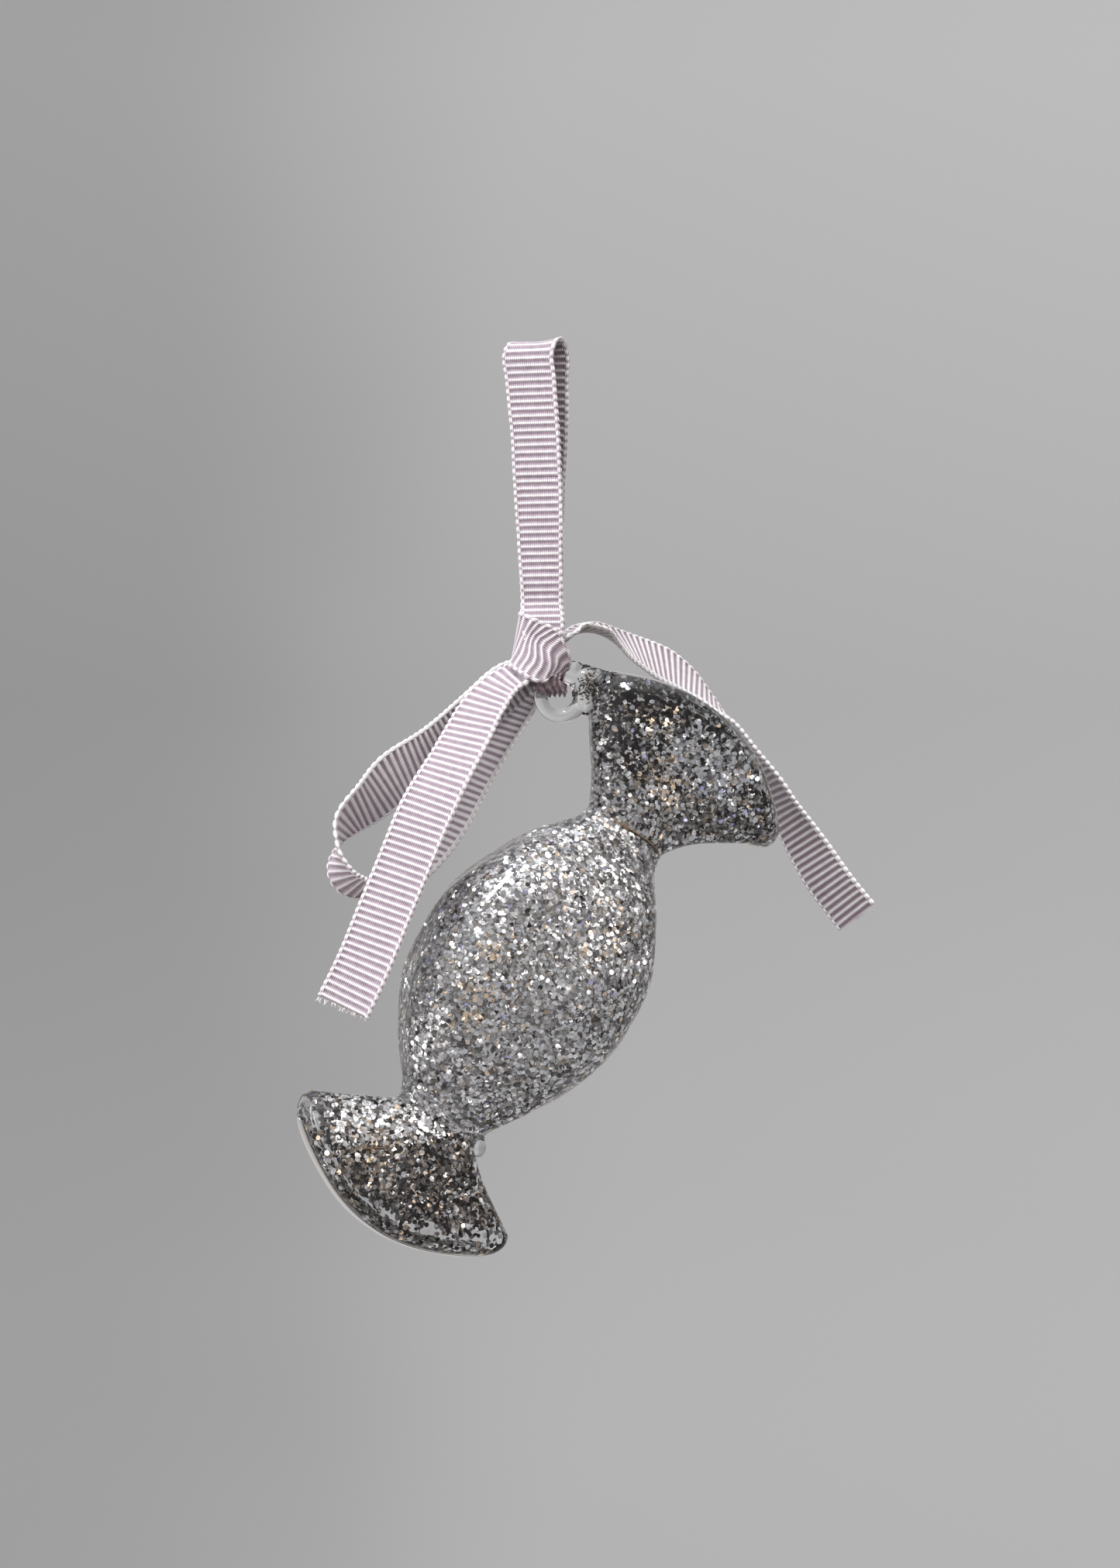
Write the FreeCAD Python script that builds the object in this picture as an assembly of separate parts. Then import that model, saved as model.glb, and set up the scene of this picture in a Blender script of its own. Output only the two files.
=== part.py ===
import FreeCAD, Part

import math
import os

from FreeCAD import Vector

# Glass wrapped-sweet ornament on a tied ribbon. Millimetres, +Z up, -Y towards the front.
# The origin is the hang point: the inside top of the ribbon loop, where it bears on a hook.

# ---- ribbon ----
RIBBON_WIDTH = 10.0
RIBBON_THICK = 0.6
GATHERED_WIDTH = 7.2  # the strands are squeezed to this where they enter the knot
HOOK_RADIUS = 2.0  # wire that the loop is made to hang on
HOOK_CLEARANCE = 0.05
LOOP_YAW = 20.0  # degrees, the loop is turned about Z
LOOP_OFFSET = -1.1  # the loop's middle lies this far along the wire from the load line
STRAND_TOP = -4.2
STRAND_BOTTOM = -46.2
STRAND_GATHER_START = -36.0
STRAND_BOTTOM_HALF_GAP = 0.45
KNOT_TOP = -46.7
KNOT_BOTTOM = -56.2
WRAP_THICK = 0.75
WRAP_GAP = 0.15

# ---- glass sweet ----
LEAN = 33.4  # degrees from vertical, towards +X
TILT = 8.0  # degrees, the upper end leans away from the front
YAW = 11.5  # degrees about the sweet's own long axis
BULB_CENTRE = Vector(-2.1, -0.8, -111.2)
BULB_HALF_LENGTH = 30.6
BULB_HALF_WIDTH = 19.95
BULB_HALF_DEPTH = 14.3
BULB_ARC_RADIUS = 36.0
BULB_BOW = -0.8  # the bulb's middle stands off the line between its necks
NECK_HALF_WIDTH = 7.8
NECK_HALF_DEPTH = 5.0
NECK_BLEND = 3.0
NECK_FLOOR = 7.3
FAN_HALF_DEPTH = 7.0
RIM_RADIUS = 3.0
BULB_WALL = 1.2
UPPER_FAN_WALL = 1.7
LOWER_FAN_WALL = 1.0
GLITTER_LAYER = 0.5

# ---- hanging eye ----
EYE_CENTRE = Vector(3.3, 0.0, -61.85)
EYE_RING_RADIUS = 3.6
EYE_ROD_RADIUS = 1.33
EYE_PIVOT = Vector(2.6, 0.0, -61.35)  # the ribbon's own line through the eye
EYE_STRAND_RADIUS = 1.1
EYE_LEG_INNER = 1.7
EYE_LEG_OUTER = 3.4
LUG_CENTRE = Vector(7.6, 0.4, -60.7)
LUG_HALF_SIZE = (3.0, 2.3, 4.8)

# ---- bead of glass where the lower fan joins the bulb, in the sweet's own frame ----
BEAD_RADIUS = 1.8
BEAD_SINK = 0.2  # the bead is fused this far into the neck's wall
BEAD_PLACE = Vector(NECK_HALF_WIDTH + BEAD_RADIUS - BEAD_SINK, -0.6, -BULB_HALF_LENGTH + 0.3)

# Outline of each fan: side curves as quadratic Beziers from the neck, and the bulge of the end arc.
# A point is (distance from the neck, sideways), sideways positive to the lower right.
UPPER_FAN = {
    "left": ((0.0, -NECK_HALF_WIDTH), (8.0, -12.6), (17.0, -20.0)),
    "right": ((0.0, NECK_HALF_WIDTH), (6.3, 10.6), (12.0, 23.0)),
    "bulge": 8.9,
}
LOWER_FAN = {
    "left": ((0.0, -NECK_HALF_WIDTH), (2.8, -12.6), (7.8, -21.4)),
    "right": ((0.0, NECK_HALF_WIDTH), (4.0, 11.4), (9.6, 22.1)),
    "bulge": 9.9,
}

AROUND = 20  # steps round half of a glass section
NECK_EXPONENT = 2.2
BULB_EXPONENT = 2.9
RIM_EXPONENT = 3.0


def save(shape, node):
    """Write one node as a single solid, and report its size."""
    shape = shape.Solids[0] if len(shape.Solids) == 1 else shape
    box = shape.BoundBox
    print(node, shape.ShapeType, len(shape.Solids), "valid", shape.isValid(), "mm3", round(shape.Volume, 1),
          "x %.1f..%.1f y %.1f..%.1f z %.1f..%.1f" % (box.XMin, box.XMax, box.YMin, box.YMax, box.ZMin, box.ZMax))
    shape.exportStep("parts/%s.step" % node)


# ---- frames ----
def sweet_placement():
    """Placement whose X, Y and Z axes are the sweet's width, depth and length."""
    lean = math.radians(LEAN)
    tilt = math.radians(TILT)
    yaw = math.radians(YAW)
    length = Vector(math.sin(lean) * math.cos(tilt), math.sin(tilt), math.cos(lean) * math.cos(tilt))
    level_width = Vector(math.cos(lean), 0, -math.sin(lean))
    level_depth = length.cross(level_width)
    width = level_width * math.cos(yaw) + level_depth * math.sin(yaw)
    depth = level_depth * math.cos(yaw) - level_width * math.sin(yaw)
    turn = FreeCAD.Rotation(width, depth, length, "ZXY")
    return FreeCAD.Placement(BULB_CENTRE, turn)


SWEET = sweet_placement()
WIRE_AXIS = Vector(math.cos(math.radians(LOOP_YAW)), -math.sin(math.radians(LOOP_YAW)), 0)
LOOP_BACK = Vector(math.sin(math.radians(LOOP_YAW)), math.cos(math.radians(LOOP_YAW)), 0)


# ---- glass skins ----
def half_section(half_width, half_depth, exponent):
    """Rear half of a superellipse, from +X round to -X, as (x, y) pairs."""
    points = []
    for step in range(AROUND + 1):
        angle = math.pi * step / AROUND
        cosine = math.cos(angle)
        sine = max(0.0, math.sin(angle))
        if step in (0, AROUND):
            sine = 0.0
        x = math.copysign(abs(cosine) ** (2 / exponent), cosine) * half_width
        y = sine ** (2 / exponent) * half_depth
        points.append((x, y))
    return points


def skin(rows, end_is_flat):
    """Closed solid from rows of rear-half points, mirrored to the front and capped at both ends."""
    surface = Part.BSplineSurface()
    surface.interpolate(rows)
    rear = surface.toShape()
    start_u, end_u = surface.bounds()[0], surface.bounds()[1]
    first = surface.uIso(start_u).toShape()
    last = surface.uIso(end_u).toShape()
    middle = Vector(0, 0, 0)
    front_side = Vector(0, 1, 0)
    front = rear.mirror(middle, front_side)
    first_cap = Part.Face(Part.Wire([first, first.mirror(middle, front_side)]))
    last_mirror = last.mirror(middle, front_side)
    if end_is_flat:
        last_cap = Part.Face(Part.Wire([last, last_mirror]))
    else:
        last_cap = Part.makeRuledSurface(last, last_mirror)
    shell = Part.Shell([rear, front, first_cap, last_cap])
    shell.sewShape()
    solid = Part.Solid(shell)
    if solid.Volume < 0:
        solid.reverse()
    return solid


def smooth_larger(first, second, blend):
    """The larger of two sizes, with a rounded change from one to the other."""
    return 0.5 * (first + second + math.sqrt((first - second) ** 2 + blend ** 2))


def bulb_half_width(along):
    arc = BULB_HALF_WIDTH - BULB_ARC_RADIUS + math.sqrt(BULB_ARC_RADIUS ** 2 - along ** 2)
    return smooth_larger(arc, NECK_FLOOR, NECK_BLEND)


def bulb_skin(inset):
    """The bulb from neck to neck, drawn in by the inset."""
    rows = []
    steps = 16
    neck_width = bulb_half_width(BULB_HALF_LENGTH)
    for step in range(steps + 1):
        share = 2 * step / steps - 1
        along = BULB_HALF_LENGTH * share
        fullness = (bulb_half_width(along) - neck_width) / (bulb_half_width(0) - neck_width)
        half_width = NECK_HALF_WIDTH + (bulb_half_width(0) - NECK_HALF_WIDTH) * fullness - inset
        half_depth = NECK_HALF_DEPTH + (BULB_HALF_DEPTH - NECK_HALF_DEPTH) * fullness - inset
        exponent = NECK_EXPONENT + (BULB_EXPONENT - NECK_EXPONENT) * fullness
        bow = BULB_BOW * (1 - share ** 2)
        rows.append([Vector(bow + x, y, along) for x, y in half_section(half_width, half_depth, exponent)])
    return skin(rows, True)


def bezier(points, share):
    """Point on a quadratic Bezier."""
    first, middle, last = points
    rest = 1 - share
    return tuple(rest * rest * a + 2 * rest * share * b + share * share * c for a, b, c in zip(first, middle, last))


def fan_row(outline, share, inset, end_inset, rim_angle):
    """One section of a fan: a superellipse whose middle line is an arc that bulges outwards."""
    rim = RIM_RADIUS - end_inset
    left = bezier(outline["left"], share)
    right = bezier(outline["right"], share)
    middle = ((left[0] + right[0]) / 2, (left[1] + right[1]) / 2)
    half = ((right[0] - left[0]) / 2, (right[1] - left[1]) / 2)
    reach = math.hypot(half[0], half[1])
    across = (half[0] / reach, half[1] / reach)
    outward = (across[1], -across[0])
    bulge = outline["bulge"] * share ** 1.6
    drawn_in = rim * (1 - math.cos(rim_angle))
    pushed_out = rim * math.sin(rim_angle)
    half_width = reach - inset - drawn_in
    half_depth = NECK_HALF_DEPTH + (FAN_HALF_DEPTH - NECK_HALF_DEPTH) * share - inset - drawn_in
    exponent = NECK_EXPONENT + (RIM_EXPONENT - NECK_EXPONENT) * share
    row = []
    for x, y in half_section(half_width, half_depth, exponent):
        side = x / reach
        lift = bulge * (1 - side ** 2)
        slope = -2 * bulge * side / reach
        size = math.hypot(1, slope)
        along = middle[0] + across[0] * x + outward[0] * lift
        sideways = middle[1] + across[1] * x + outward[1] * lift
        along += pushed_out * (outward[0] - slope * across[0]) / size
        sideways += pushed_out * (outward[1] - slope * across[1]) / size
        row.append((sideways, y, along))
    return row


def fan_skin(outline, direction, inset, end_inset):
    """A flared fan standing on a neck. Direction is +1 for the upper fan and -1 for the lower one."""
    rows = []
    body_steps = 10
    rim_steps = 4
    for step in range(body_steps + 1):
        rows.append(fan_row(outline, step / body_steps, inset, end_inset, 0.0))
    for step in range(1, rim_steps + 1):
        rows.append(fan_row(outline, 1.0, inset, end_inset, math.pi / 2 * step / rim_steps))
    base = BULB_HALF_LENGTH * direction
    placed = [[Vector(x, y, base + z * direction) for x, y, z in row] for row in rows]
    return skin(placed, False)


def make_glass(skins, name):
    """Hollow glass, and the glitter that coats its inside."""
    outer, inner, core = skins
    for shape, node in ((outer.cut(inner), name + "_glass"), (inner.cut(core), name + "_glitter")):
        shape.Placement = SWEET
        save(shape, node)
    placed = outer.copy()
    placed.Placement = SWEET
    return placed


def make_sweet():
    """Bulb, two fans, the bead at the lower neck, and the eye that the ribbon passes through."""
    insets = (0.0, BULB_WALL, BULB_WALL + GLITTER_LAYER)
    make_glass([bulb_skin(inset) for inset in insets], "bulb")
    fans = []
    for name, outline, direction, wall in (("upper_fan", UPPER_FAN, 1, UPPER_FAN_WALL),
                                           ("lower_fan", LOWER_FAN, -1, LOWER_FAN_WALL)):
        insets = (0.0, wall, wall + GLITTER_LAYER)
        fans.append(make_glass([fan_skin(outline, direction, inset, inset) for inset in insets], name))
    upper_fan = fans[0]

    bead = Part.makeSphere(BEAD_RADIUS)
    bead.Placement = FreeCAD.Placement(SWEET.multVec(BEAD_PLACE), SWEET.Rotation)
    save(bead, "lower_neck_bead")

    ring = Part.makeTorus(EYE_RING_RADIUS, EYE_ROD_RADIUS, EYE_CENTRE, Vector(0, 1, 0))
    hole_radius = EYE_RING_RADIUS - EYE_ROD_RADIUS + 0.02
    hole = Part.makeCylinder(hole_radius, 20, EYE_CENTRE - Vector(0, 10, 0), Vector(0, 1, 0))
    lug = Part.makeSphere(1.0)
    stretch = FreeCAD.Matrix()
    stretch.scale(*LUG_HALF_SIZE)
    lug = lug.transformGeometry(stretch)
    lug.translate(LUG_CENTRE)
    save(ring.cut(upper_fan), "eye_ring")
    save(lug.cut(upper_fan).cut(ring).cut(hole), "eye_lug")


# ---- ribbon strips ----
def smooth_path(points, count):
    """Places and directions at equal steps along a smooth curve through the points."""
    curve = Part.BSplineCurve()
    curve.interpolate(points)
    edge = curve.toShape()
    places = [edge.getParameterByLength(edge.Length * step / count) for step in range(count + 1)]
    return [(edge.valueAt(place), edge.tangentAt(place)) for place in places]


def strip(stations, steps_per_span=2, widths=None):
    """Ribbon solid from stations (centre, direction across the ribbon), each a triple."""
    centres = [Vector(*centre) for centre, across in stations]
    acrosses = [Vector(*across).normalize() for centre, across in stations]
    path = smooth_path(centres, steps_per_span * (len(stations) - 1))
    spans = len(stations) - 1
    reach = [0.0]
    for first, second in zip(centres, centres[1:]):
        reach.append(reach[-1] + first.distanceToPoint(second))
    wires = []
    count = len(path) - 1
    for number, (centre, tangent) in enumerate(path):
        travelled = reach[-1] * number / count
        span = max(0, min(spans - 1, sum(1 for r in reach[1:] if r <= travelled)))
        share = (travelled - reach[span]) / (reach[span + 1] - reach[span])
        across = acrosses[span] * (1 - share) + acrosses[span + 1] * share
        across = (across - tangent * across.dot(tangent)).normalize()
        normal = tangent.cross(across).normalize()
        half_width = RIBBON_WIDTH / 2
        if widths:
            half_width = (widths[span] * (1 - share) + widths[span + 1] * share) / 2
        side = across * half_width
        skin_step = normal * (RIBBON_THICK / 2)
        corners = [centre - side - skin_step, centre + side - skin_step,
                   centre + side + skin_step, centre - side + skin_step]
        wires.append(Part.makePolygon(corners + corners[:1]))
    solid = Part.makeLoft(wires, True, True)
    return solid if solid.Volume > 0 else Part.makeLoft(wires[::-1], True, True)


def make_hook_bight():
    """Half turn of ribbon over the top of the hook wire."""
    inner_radius = HOOK_RADIUS + HOOK_CLEARANCE
    middle = WIRE_AXIS * LOOP_OFFSET + Vector(0, 0, -inner_radius)
    start = middle - WIRE_AXIS * (RIBBON_WIDTH / 2)
    outer = Part.makeCylinder(inner_radius + RIBBON_THICK, RIBBON_WIDTH, start, WIRE_AXIS)
    inner = Part.makeCylinder(inner_radius, RIBBON_WIDTH, start, WIRE_AXIS)
    below = Part.makeBox(40, 40, 20, Vector(-20, -20, -inner_radius - 20))
    save(outer.cut(inner).cut(below), "ribbon_hook_bight")


def make_strand(node, side):
    """One of the two flat strands between the hook and the knot. Side is -1 in front, +1 behind."""
    top_offset = HOOK_RADIUS + HOOK_CLEARANCE + RIBBON_THICK / 2
    stations = []
    widths = []
    for share in (0.0, 0.12, 0.35, 0.6, 0.8, 1.0):
        z = STRAND_TOP + (STRAND_BOTTOM - STRAND_TOP) * share
        away = top_offset + (STRAND_BOTTOM_HALF_GAP - top_offset) * share
        centre = WIRE_AXIS * (LOOP_OFFSET * (1 - share)) + LOOP_BACK * (away * side) + Vector(0, 0, z)
        stations.append((tuple(centre), tuple(WIRE_AXIS)))
        gather = max(0.0, (STRAND_GATHER_START - z) / (STRAND_GATHER_START - STRAND_BOTTOM))
        widths.append(RIBBON_WIDTH + (GATHERED_WIDTH - RIBBON_WIDTH) * gather)
    save(strip(stations, 2, widths), node)


# Sections of the knot's core: height, middle in X, half width, half depth.
KNOT_SECTIONS = (
    (KNOT_TOP, 0.0, 3.4, 1.4),
    (-48.5, -0.3, 3.9, 2.6),
    (-51.0, -0.8, 4.2, 3.3),
    (-53.5, -1.3, 4.1, 3.3),
    (KNOT_BOTTOM, -1.9, 3.6, 2.6),
)


def knot_loft(grow):
    wires = []
    for z, middle, half_width, half_depth in KNOT_SECTIONS:
        rear = half_section(half_width + grow, half_depth + grow, 2.4)
        front = [(x, -y) for x, y in reversed(rear)][1:-1]
        curve = Part.BSplineCurve()
        curve.interpolate([Vector(middle + x, y, z) for x, y in rear + front], PeriodicFlag=True)
        wires.append(Part.Wire(curve.toShape()))
    return Part.makeLoft(wires, True, False)


def make_knot():
    """The knot's core, the turn of ribbon wrapped round it, and the stretch through the glass eye."""
    save(knot_loft(0.0), "ribbon_knot_core")
    wrap = knot_loft(WRAP_GAP + WRAP_THICK).cut(knot_loft(WRAP_GAP))
    save(wrap, "ribbon_knot_wrap")

    cross_bar = Part.makeCylinder(EYE_STRAND_RADIUS, 2 * EYE_LEG_OUTER - 1.0,
                                  EYE_PIVOT - Vector(0, EYE_LEG_OUTER - 0.5, 0), Vector(0, 1, 0))
    legs = []
    for side, top_middle, top_half, foot_middle, foot_half in ((-1, 1.3, 2.7, 2.5, 1.9), (1, 0.3, 2.3, 1.8, 2.1)):
        near = EYE_LEG_INNER * side
        far = EYE_LEG_OUTER * side
        wires = []
        for z, middle, half in ((KNOT_BOTTOM - 0.2, top_middle, top_half), (EYE_PIVOT.z - 0.9, foot_middle, foot_half)):
            corners = [Vector(middle - half, near, z), Vector(middle + half, near, z),
                       Vector(middle + half, far, z), Vector(middle - half, far, z)]
            wires.append(Part.makePolygon(corners + corners[:1]))
        legs.append(Part.makeLoft(wires, True, True))
    strand = legs[0].fuse([legs[1], cross_bar]).removeSplitter()
    save(strand, "ribbon_eye_strand")


# Each station is the ribbon's middle and the direction across it, from one selvedge to the other.
LEFT_TAIL = (
    ((-4.8, -3.0, -58.9), (0.80, -0.45, -0.40)),
    ((-8.2, -4.6, -61.8), (0.80, -0.50, -0.30)),
    ((-11.3, -6.3, -65.4), (0.80, -0.52, -0.25)),
    ((-15.2, -9.6, -72.7), (0.81, -0.53, -0.24)),
    ((-20.2, -13.4, -82.2), (0.86, -0.42, -0.29)),
    ((-25.0, -16.2, -94.1), (0.90, -0.30, -0.32)),
    ((-27.8, -17.8, -101.1), (0.89, -0.29, -0.34)),
    ((-30.7, -18.9, -108.4), (0.89, -0.29, -0.34)),
    ((-34.2, -19.6, -115.8), (0.90, -0.27, -0.34)),
)
BOW_LOOP = (
    ((-4.9, 2.4, -60.0), (0.55, 0.30, -0.75)),
    ((-8.4, 1.7, -62.6), (0.45, 0.40, -0.80)),
    ((-14.5, 0.6, -67.7), (0.36, 0.44, -0.82)),
    ((-21.4, -1.8, -72.7), (0.35, 0.45, -0.82)),
    ((-27.1, -4.3, -76.4), (0.34, 0.46, -0.82)),
    ((-30.9, -5.8, -80.1), (0.36, 0.70, -0.60)),
    ((-33.8, -6.8, -82.6), (0.33, 0.84, -0.42)),
    ((-35.6, -7.3, -85.2), (0.18, 0.94, -0.28)),
    ((-36.2, -7.5, -87.9), (-0.02, 1.00, 0.00)),
    ((-36.0, -7.4, -90.9), (-0.31, 0.94, -0.10)),
    ((-35.0, -7.0, -93.7), (-0.47, 0.87, -0.16)),
    ((-33.2, -6.4, -95.6), (-0.46, 0.84, -0.27)),
    ((-30.4, -5.6, -96.4), (-0.40, 0.85, -0.20)),
    ((-25.6, -4.0, -94.8), (-0.50, 0.80, 0.05)),
    ((-20.9, -2.2, -90.0), (-0.62, 0.72, 0.20)),
    ((-16.9, -0.9, -83.6), (-0.70, 0.65, 0.28)),
    ((-14.2, 0.0, -78.0), (-0.72, 0.62, 0.30)),
    ((-10.8, 1.2, -71.4), (-0.72, 0.62, 0.30)),
    ((-6.8, 3.4, -65.2), (-0.72, 0.62, 0.30)),
    ((-4.4, 5.4, -61.4), (-0.70, 0.60, 0.35)),
)
RIGHT_TAIL = (
    ((4.9, 2.6, -52.2), (0.00, 1.00, 0.00)),
    ((5.2, 2.7, -50.7), (0.00, 1.00, 0.00)),
    ((6.9, 3.3, -49.8), (0.00, 1.00, 0.02)),
    ((9.6, 7.8, -49.8), (0.00, 0.99, 0.10)),
    ((13.2, 12.2, -51.4), (-0.06, 0.93, 0.36)),
    ((16.2, 14.9, -53.0), (-0.12, 0.83, 0.54)),
    ((19.7, 17.4, -54.8), (-0.19, 0.69, 0.70)),
    ((23.4, 19.5, -56.6), (-0.23, 0.63, 0.74)),
    ((26.4, 20.9, -58.6), (-0.23, 0.68, 0.69)),
    ((28.9, 21.8, -60.7), (-0.19, 0.79, 0.56)),
    ((31.2, 22.5, -63.1), (-0.12, 0.92, 0.36)),
    ((33.7, 23.0, -65.6), (-0.10, 0.98, 0.14)),
    ((36.6, 23.4, -69.5), (-0.12, 0.99, 0.00)),
    ((39.2, 23.6, -73.8), (-0.23, 0.96, -0.08)),
    ((41.8, 23.6, -78.0), (-0.36, 0.92, -0.12)),
    ((44.0, 23.6, -82.2), (-0.46, 0.87, -0.14)),
    ((46.2, 23.3, -86.0), (-0.58, 0.80, -0.17)),
    ((48.8, 23.0, -90.2), (-0.66, 0.72, -0.22)),
    ((51.4, 22.7, -94.3), (-0.69, 0.67, -0.26)),
    ((54.3, 22.5, -98.2), (-0.69, 0.66, -0.29)),
    ((57.1, 22.3, -101.7), (-0.68, 0.65, -0.35)),
)


def main():
    os.makedirs("parts", exist_ok=True)
    make_hook_bight()
    make_strand("ribbon_front_strand", -1)
    make_strand("ribbon_back_strand", 1)
    make_knot()
    save(strip(LEFT_TAIL), "ribbon_left_tail")
    save(strip(BOW_LOOP), "ribbon_bow_loop")
    save(strip(RIGHT_TAIL), "ribbon_right_tail")
    make_sweet()


main()
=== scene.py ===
import math

import bpy
import numpy as np
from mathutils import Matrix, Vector


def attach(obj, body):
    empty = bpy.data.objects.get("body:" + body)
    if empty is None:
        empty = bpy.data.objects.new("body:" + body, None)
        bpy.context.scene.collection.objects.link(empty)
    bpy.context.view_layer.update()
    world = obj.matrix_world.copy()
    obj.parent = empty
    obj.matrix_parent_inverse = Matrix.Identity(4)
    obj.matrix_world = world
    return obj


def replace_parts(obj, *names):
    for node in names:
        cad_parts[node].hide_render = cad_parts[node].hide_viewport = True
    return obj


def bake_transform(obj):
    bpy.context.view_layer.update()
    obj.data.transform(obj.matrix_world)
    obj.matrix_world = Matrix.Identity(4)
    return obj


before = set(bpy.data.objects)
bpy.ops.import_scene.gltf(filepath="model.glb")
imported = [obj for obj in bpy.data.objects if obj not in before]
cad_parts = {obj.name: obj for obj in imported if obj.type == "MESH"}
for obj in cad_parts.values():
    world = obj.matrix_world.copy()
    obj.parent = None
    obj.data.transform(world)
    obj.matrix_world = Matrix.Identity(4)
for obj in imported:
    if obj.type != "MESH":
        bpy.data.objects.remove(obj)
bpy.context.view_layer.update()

# Glass wrapped-sweet ornament on a grosgrain ribbon. Shapes are worked out in millimetres, in the CAD frame:
# the origin is the hang point, +Z is up and -Y is the front. The camera, stage and lamps are in metres.
MM = 0.001
UP = np.array([0.0, 0.0, 1.0])


# ---------------------------------------------------------------- helpers
def link(obj):
    bpy.context.scene.collection.objects.link(obj)
    return obj


def unit(vectors):
    return vectors / np.linalg.norm(vectors, axis=-1, keepdims=True)


def tube_faces(rows, around, flip=False, joined=False):
    """Quads between rows of points that are numbered row by row. Joined rows run on into the first."""
    faces = []
    for i in range(rows if joined else rows - 1):
        here = i * around
        there = (i + 1) % rows * around
        for k in range(around):
            n = (k + 1) % around
            if flip:
                faces.append((here + k, there + k, there + n, here + n))
            else:
                faces.append((here + k, here + n, there + n, there + k))
    return faces


def mesh_piece(name, verts, faces, material, slot, body=None):
    """A smooth-shaded mesh object from millimetre points, on its material and CAD body."""
    mesh = bpy.data.meshes.new(name)
    mesh.from_pydata((np.asarray(verts, float) * MM).tolist(), [], faces)
    mesh.polygons.foreach_set("use_smooth", [True] * len(mesh.polygons))
    mesh.materials.append(material)
    mesh.update()
    obj = link(bpy.data.objects.new(name, mesh))
    if body:
        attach(obj, body)
    return obj


def set_inputs(tree, node, inputs):
    """Link the inputs that are given another node's output, and set the others as constants."""
    for key, value in inputs.items():
        if isinstance(value, bpy.types.NodeSocket):
            tree.links.new(value, node.inputs[key])
        else:
            node.inputs[key].default_value = value


def add_node(tree, kind, inputs=None, **settings):
    node = tree.nodes.new("ShaderNode" + kind)
    for key, value in settings.items():
        setattr(node, key, value)
    set_inputs(tree, node, inputs or {})
    return node


def add_ramp(tree, factor, stops, interpolation="LINEAR"):
    """The colour of a ramp with these (place, colour) stops."""
    node = add_node(tree, "ValToRGB", {"Fac": factor})
    ramp = node.color_ramp
    ramp.interpolation = interpolation
    while len(ramp.elements) < len(stops):
        ramp.elements.new(0.5)
    for element, (place, colour) in zip(ramp.elements, stops):
        element.position = place
        element.color = (*colour, 1)
    return node.outputs["Color"]


def mix_colours(tree, kind, a, b, factor=1.0):
    inputs = {"Factor": factor, "A": a, "B": b}
    return add_node(tree, "Mix", inputs, data_type="RGBA", blend_type=kind).outputs["Result"]


def add_bump(tree, height, strength, distance):
    inputs = {"Height": height, "Strength": strength, "Distance": distance}
    return add_node(tree, "Bump", inputs).outputs["Normal"]


def new_material(name):
    """A material with its node tree and its shader."""
    material = bpy.data.materials.new(name)
    material.use_nodes = True
    return material, material.node_tree, material.node_tree.nodes["Principled BSDF"]


def object_place(tree):
    return add_node(tree, "TexCoord").outputs["Object"]


# ---------------------------------------------------------------- camera, stage and light
CAMERA_PLACE = (0.00308, -0.75, -0.0775)
CAMERA_LENS = 97.5
FLOOR_Z = -0.62
FLOOR_RADIUS = 1.5
FILLET = 0.6
FILLET_STEPS = 8
STAGE_AROUND = 96
# Painted shade on the wall: from this tone at the left to the lighter one at the right.
WALL_DARK = 0.425
WALL_LIGHT = 0.545
LAMP_AIM = (0.0, 0.0, -0.09)
WINDOW_SIDE = (-0.45, -0.40, 0.80)  # the room is brightest this way
ROOM_TONES = (
    (0.0, (0.090, 0.079, 0.070)),
    (0.42, (0.120, 0.110, 0.102)),
    (0.66, (0.150, 0.145, 0.141)),
    (0.84, (0.50, 0.50, 0.51)),
    (1.0, (0.95, 0.96, 1.0)),
)
WARM = (1.0, 0.93, 0.88)
WHITE = (1.0, 1.0, 1.0)


def make_camera():
    data = bpy.data.cameras.new("camera")
    data.sensor_width = 36.0
    data.lens = CAMERA_LENS
    data.clip_start = 0.01
    data.clip_end = 50.0
    camera = link(bpy.data.objects.new("camera", data))
    camera.location = CAMERA_PLACE
    camera.rotation_euler = (math.radians(90.0), 0.0, 0.0)
    bpy.context.scene.camera = camera


def stage_material():
    """A pale wall, a little uneven, with painted shade that makes it darker towards the left and lower down.
    """
    material, tree, shader = new_material("pale_wall")
    place = object_place(tree)
    split = add_node(tree, "SeparateXYZ", {"Vector": place})
    noise = add_node(tree, "TexNoise", {"Vector": place, "Scale": 2.2, "Detail": 2.0})
    inputs = {0: noise.outputs["Fac"], 1: 0.35, 2: split.outputs["X"]}
    uneven = add_node(tree, "Math", inputs, operation="MULTIPLY_ADD")
    shift = add_node(tree, "Math", {0: uneven.outputs["Value"], 1: 0.12}, operation="ADD")
    # Painted shade: darker towards the left.
    stops = ((0.0, (WALL_DARK,) * 3), (0.34, (WALL_LIGHT,) * 3))
    wall = add_ramp(tree, shift.outputs["Value"], stops, "EASE")
    # Painted shade: darker lower down.
    inputs = {"Value": split.outputs["Z"], "From Min": -0.6, "From Max": 0.4, "To Min": 0.60}
    lower = add_node(tree, "MapRange", inputs)
    colour = mix_colours(tree, "MULTIPLY", wall, lower.outputs["Result"])
    set_inputs(tree, shader, {"Base Color": colour, "Roughness": 0.9})
    return material


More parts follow.
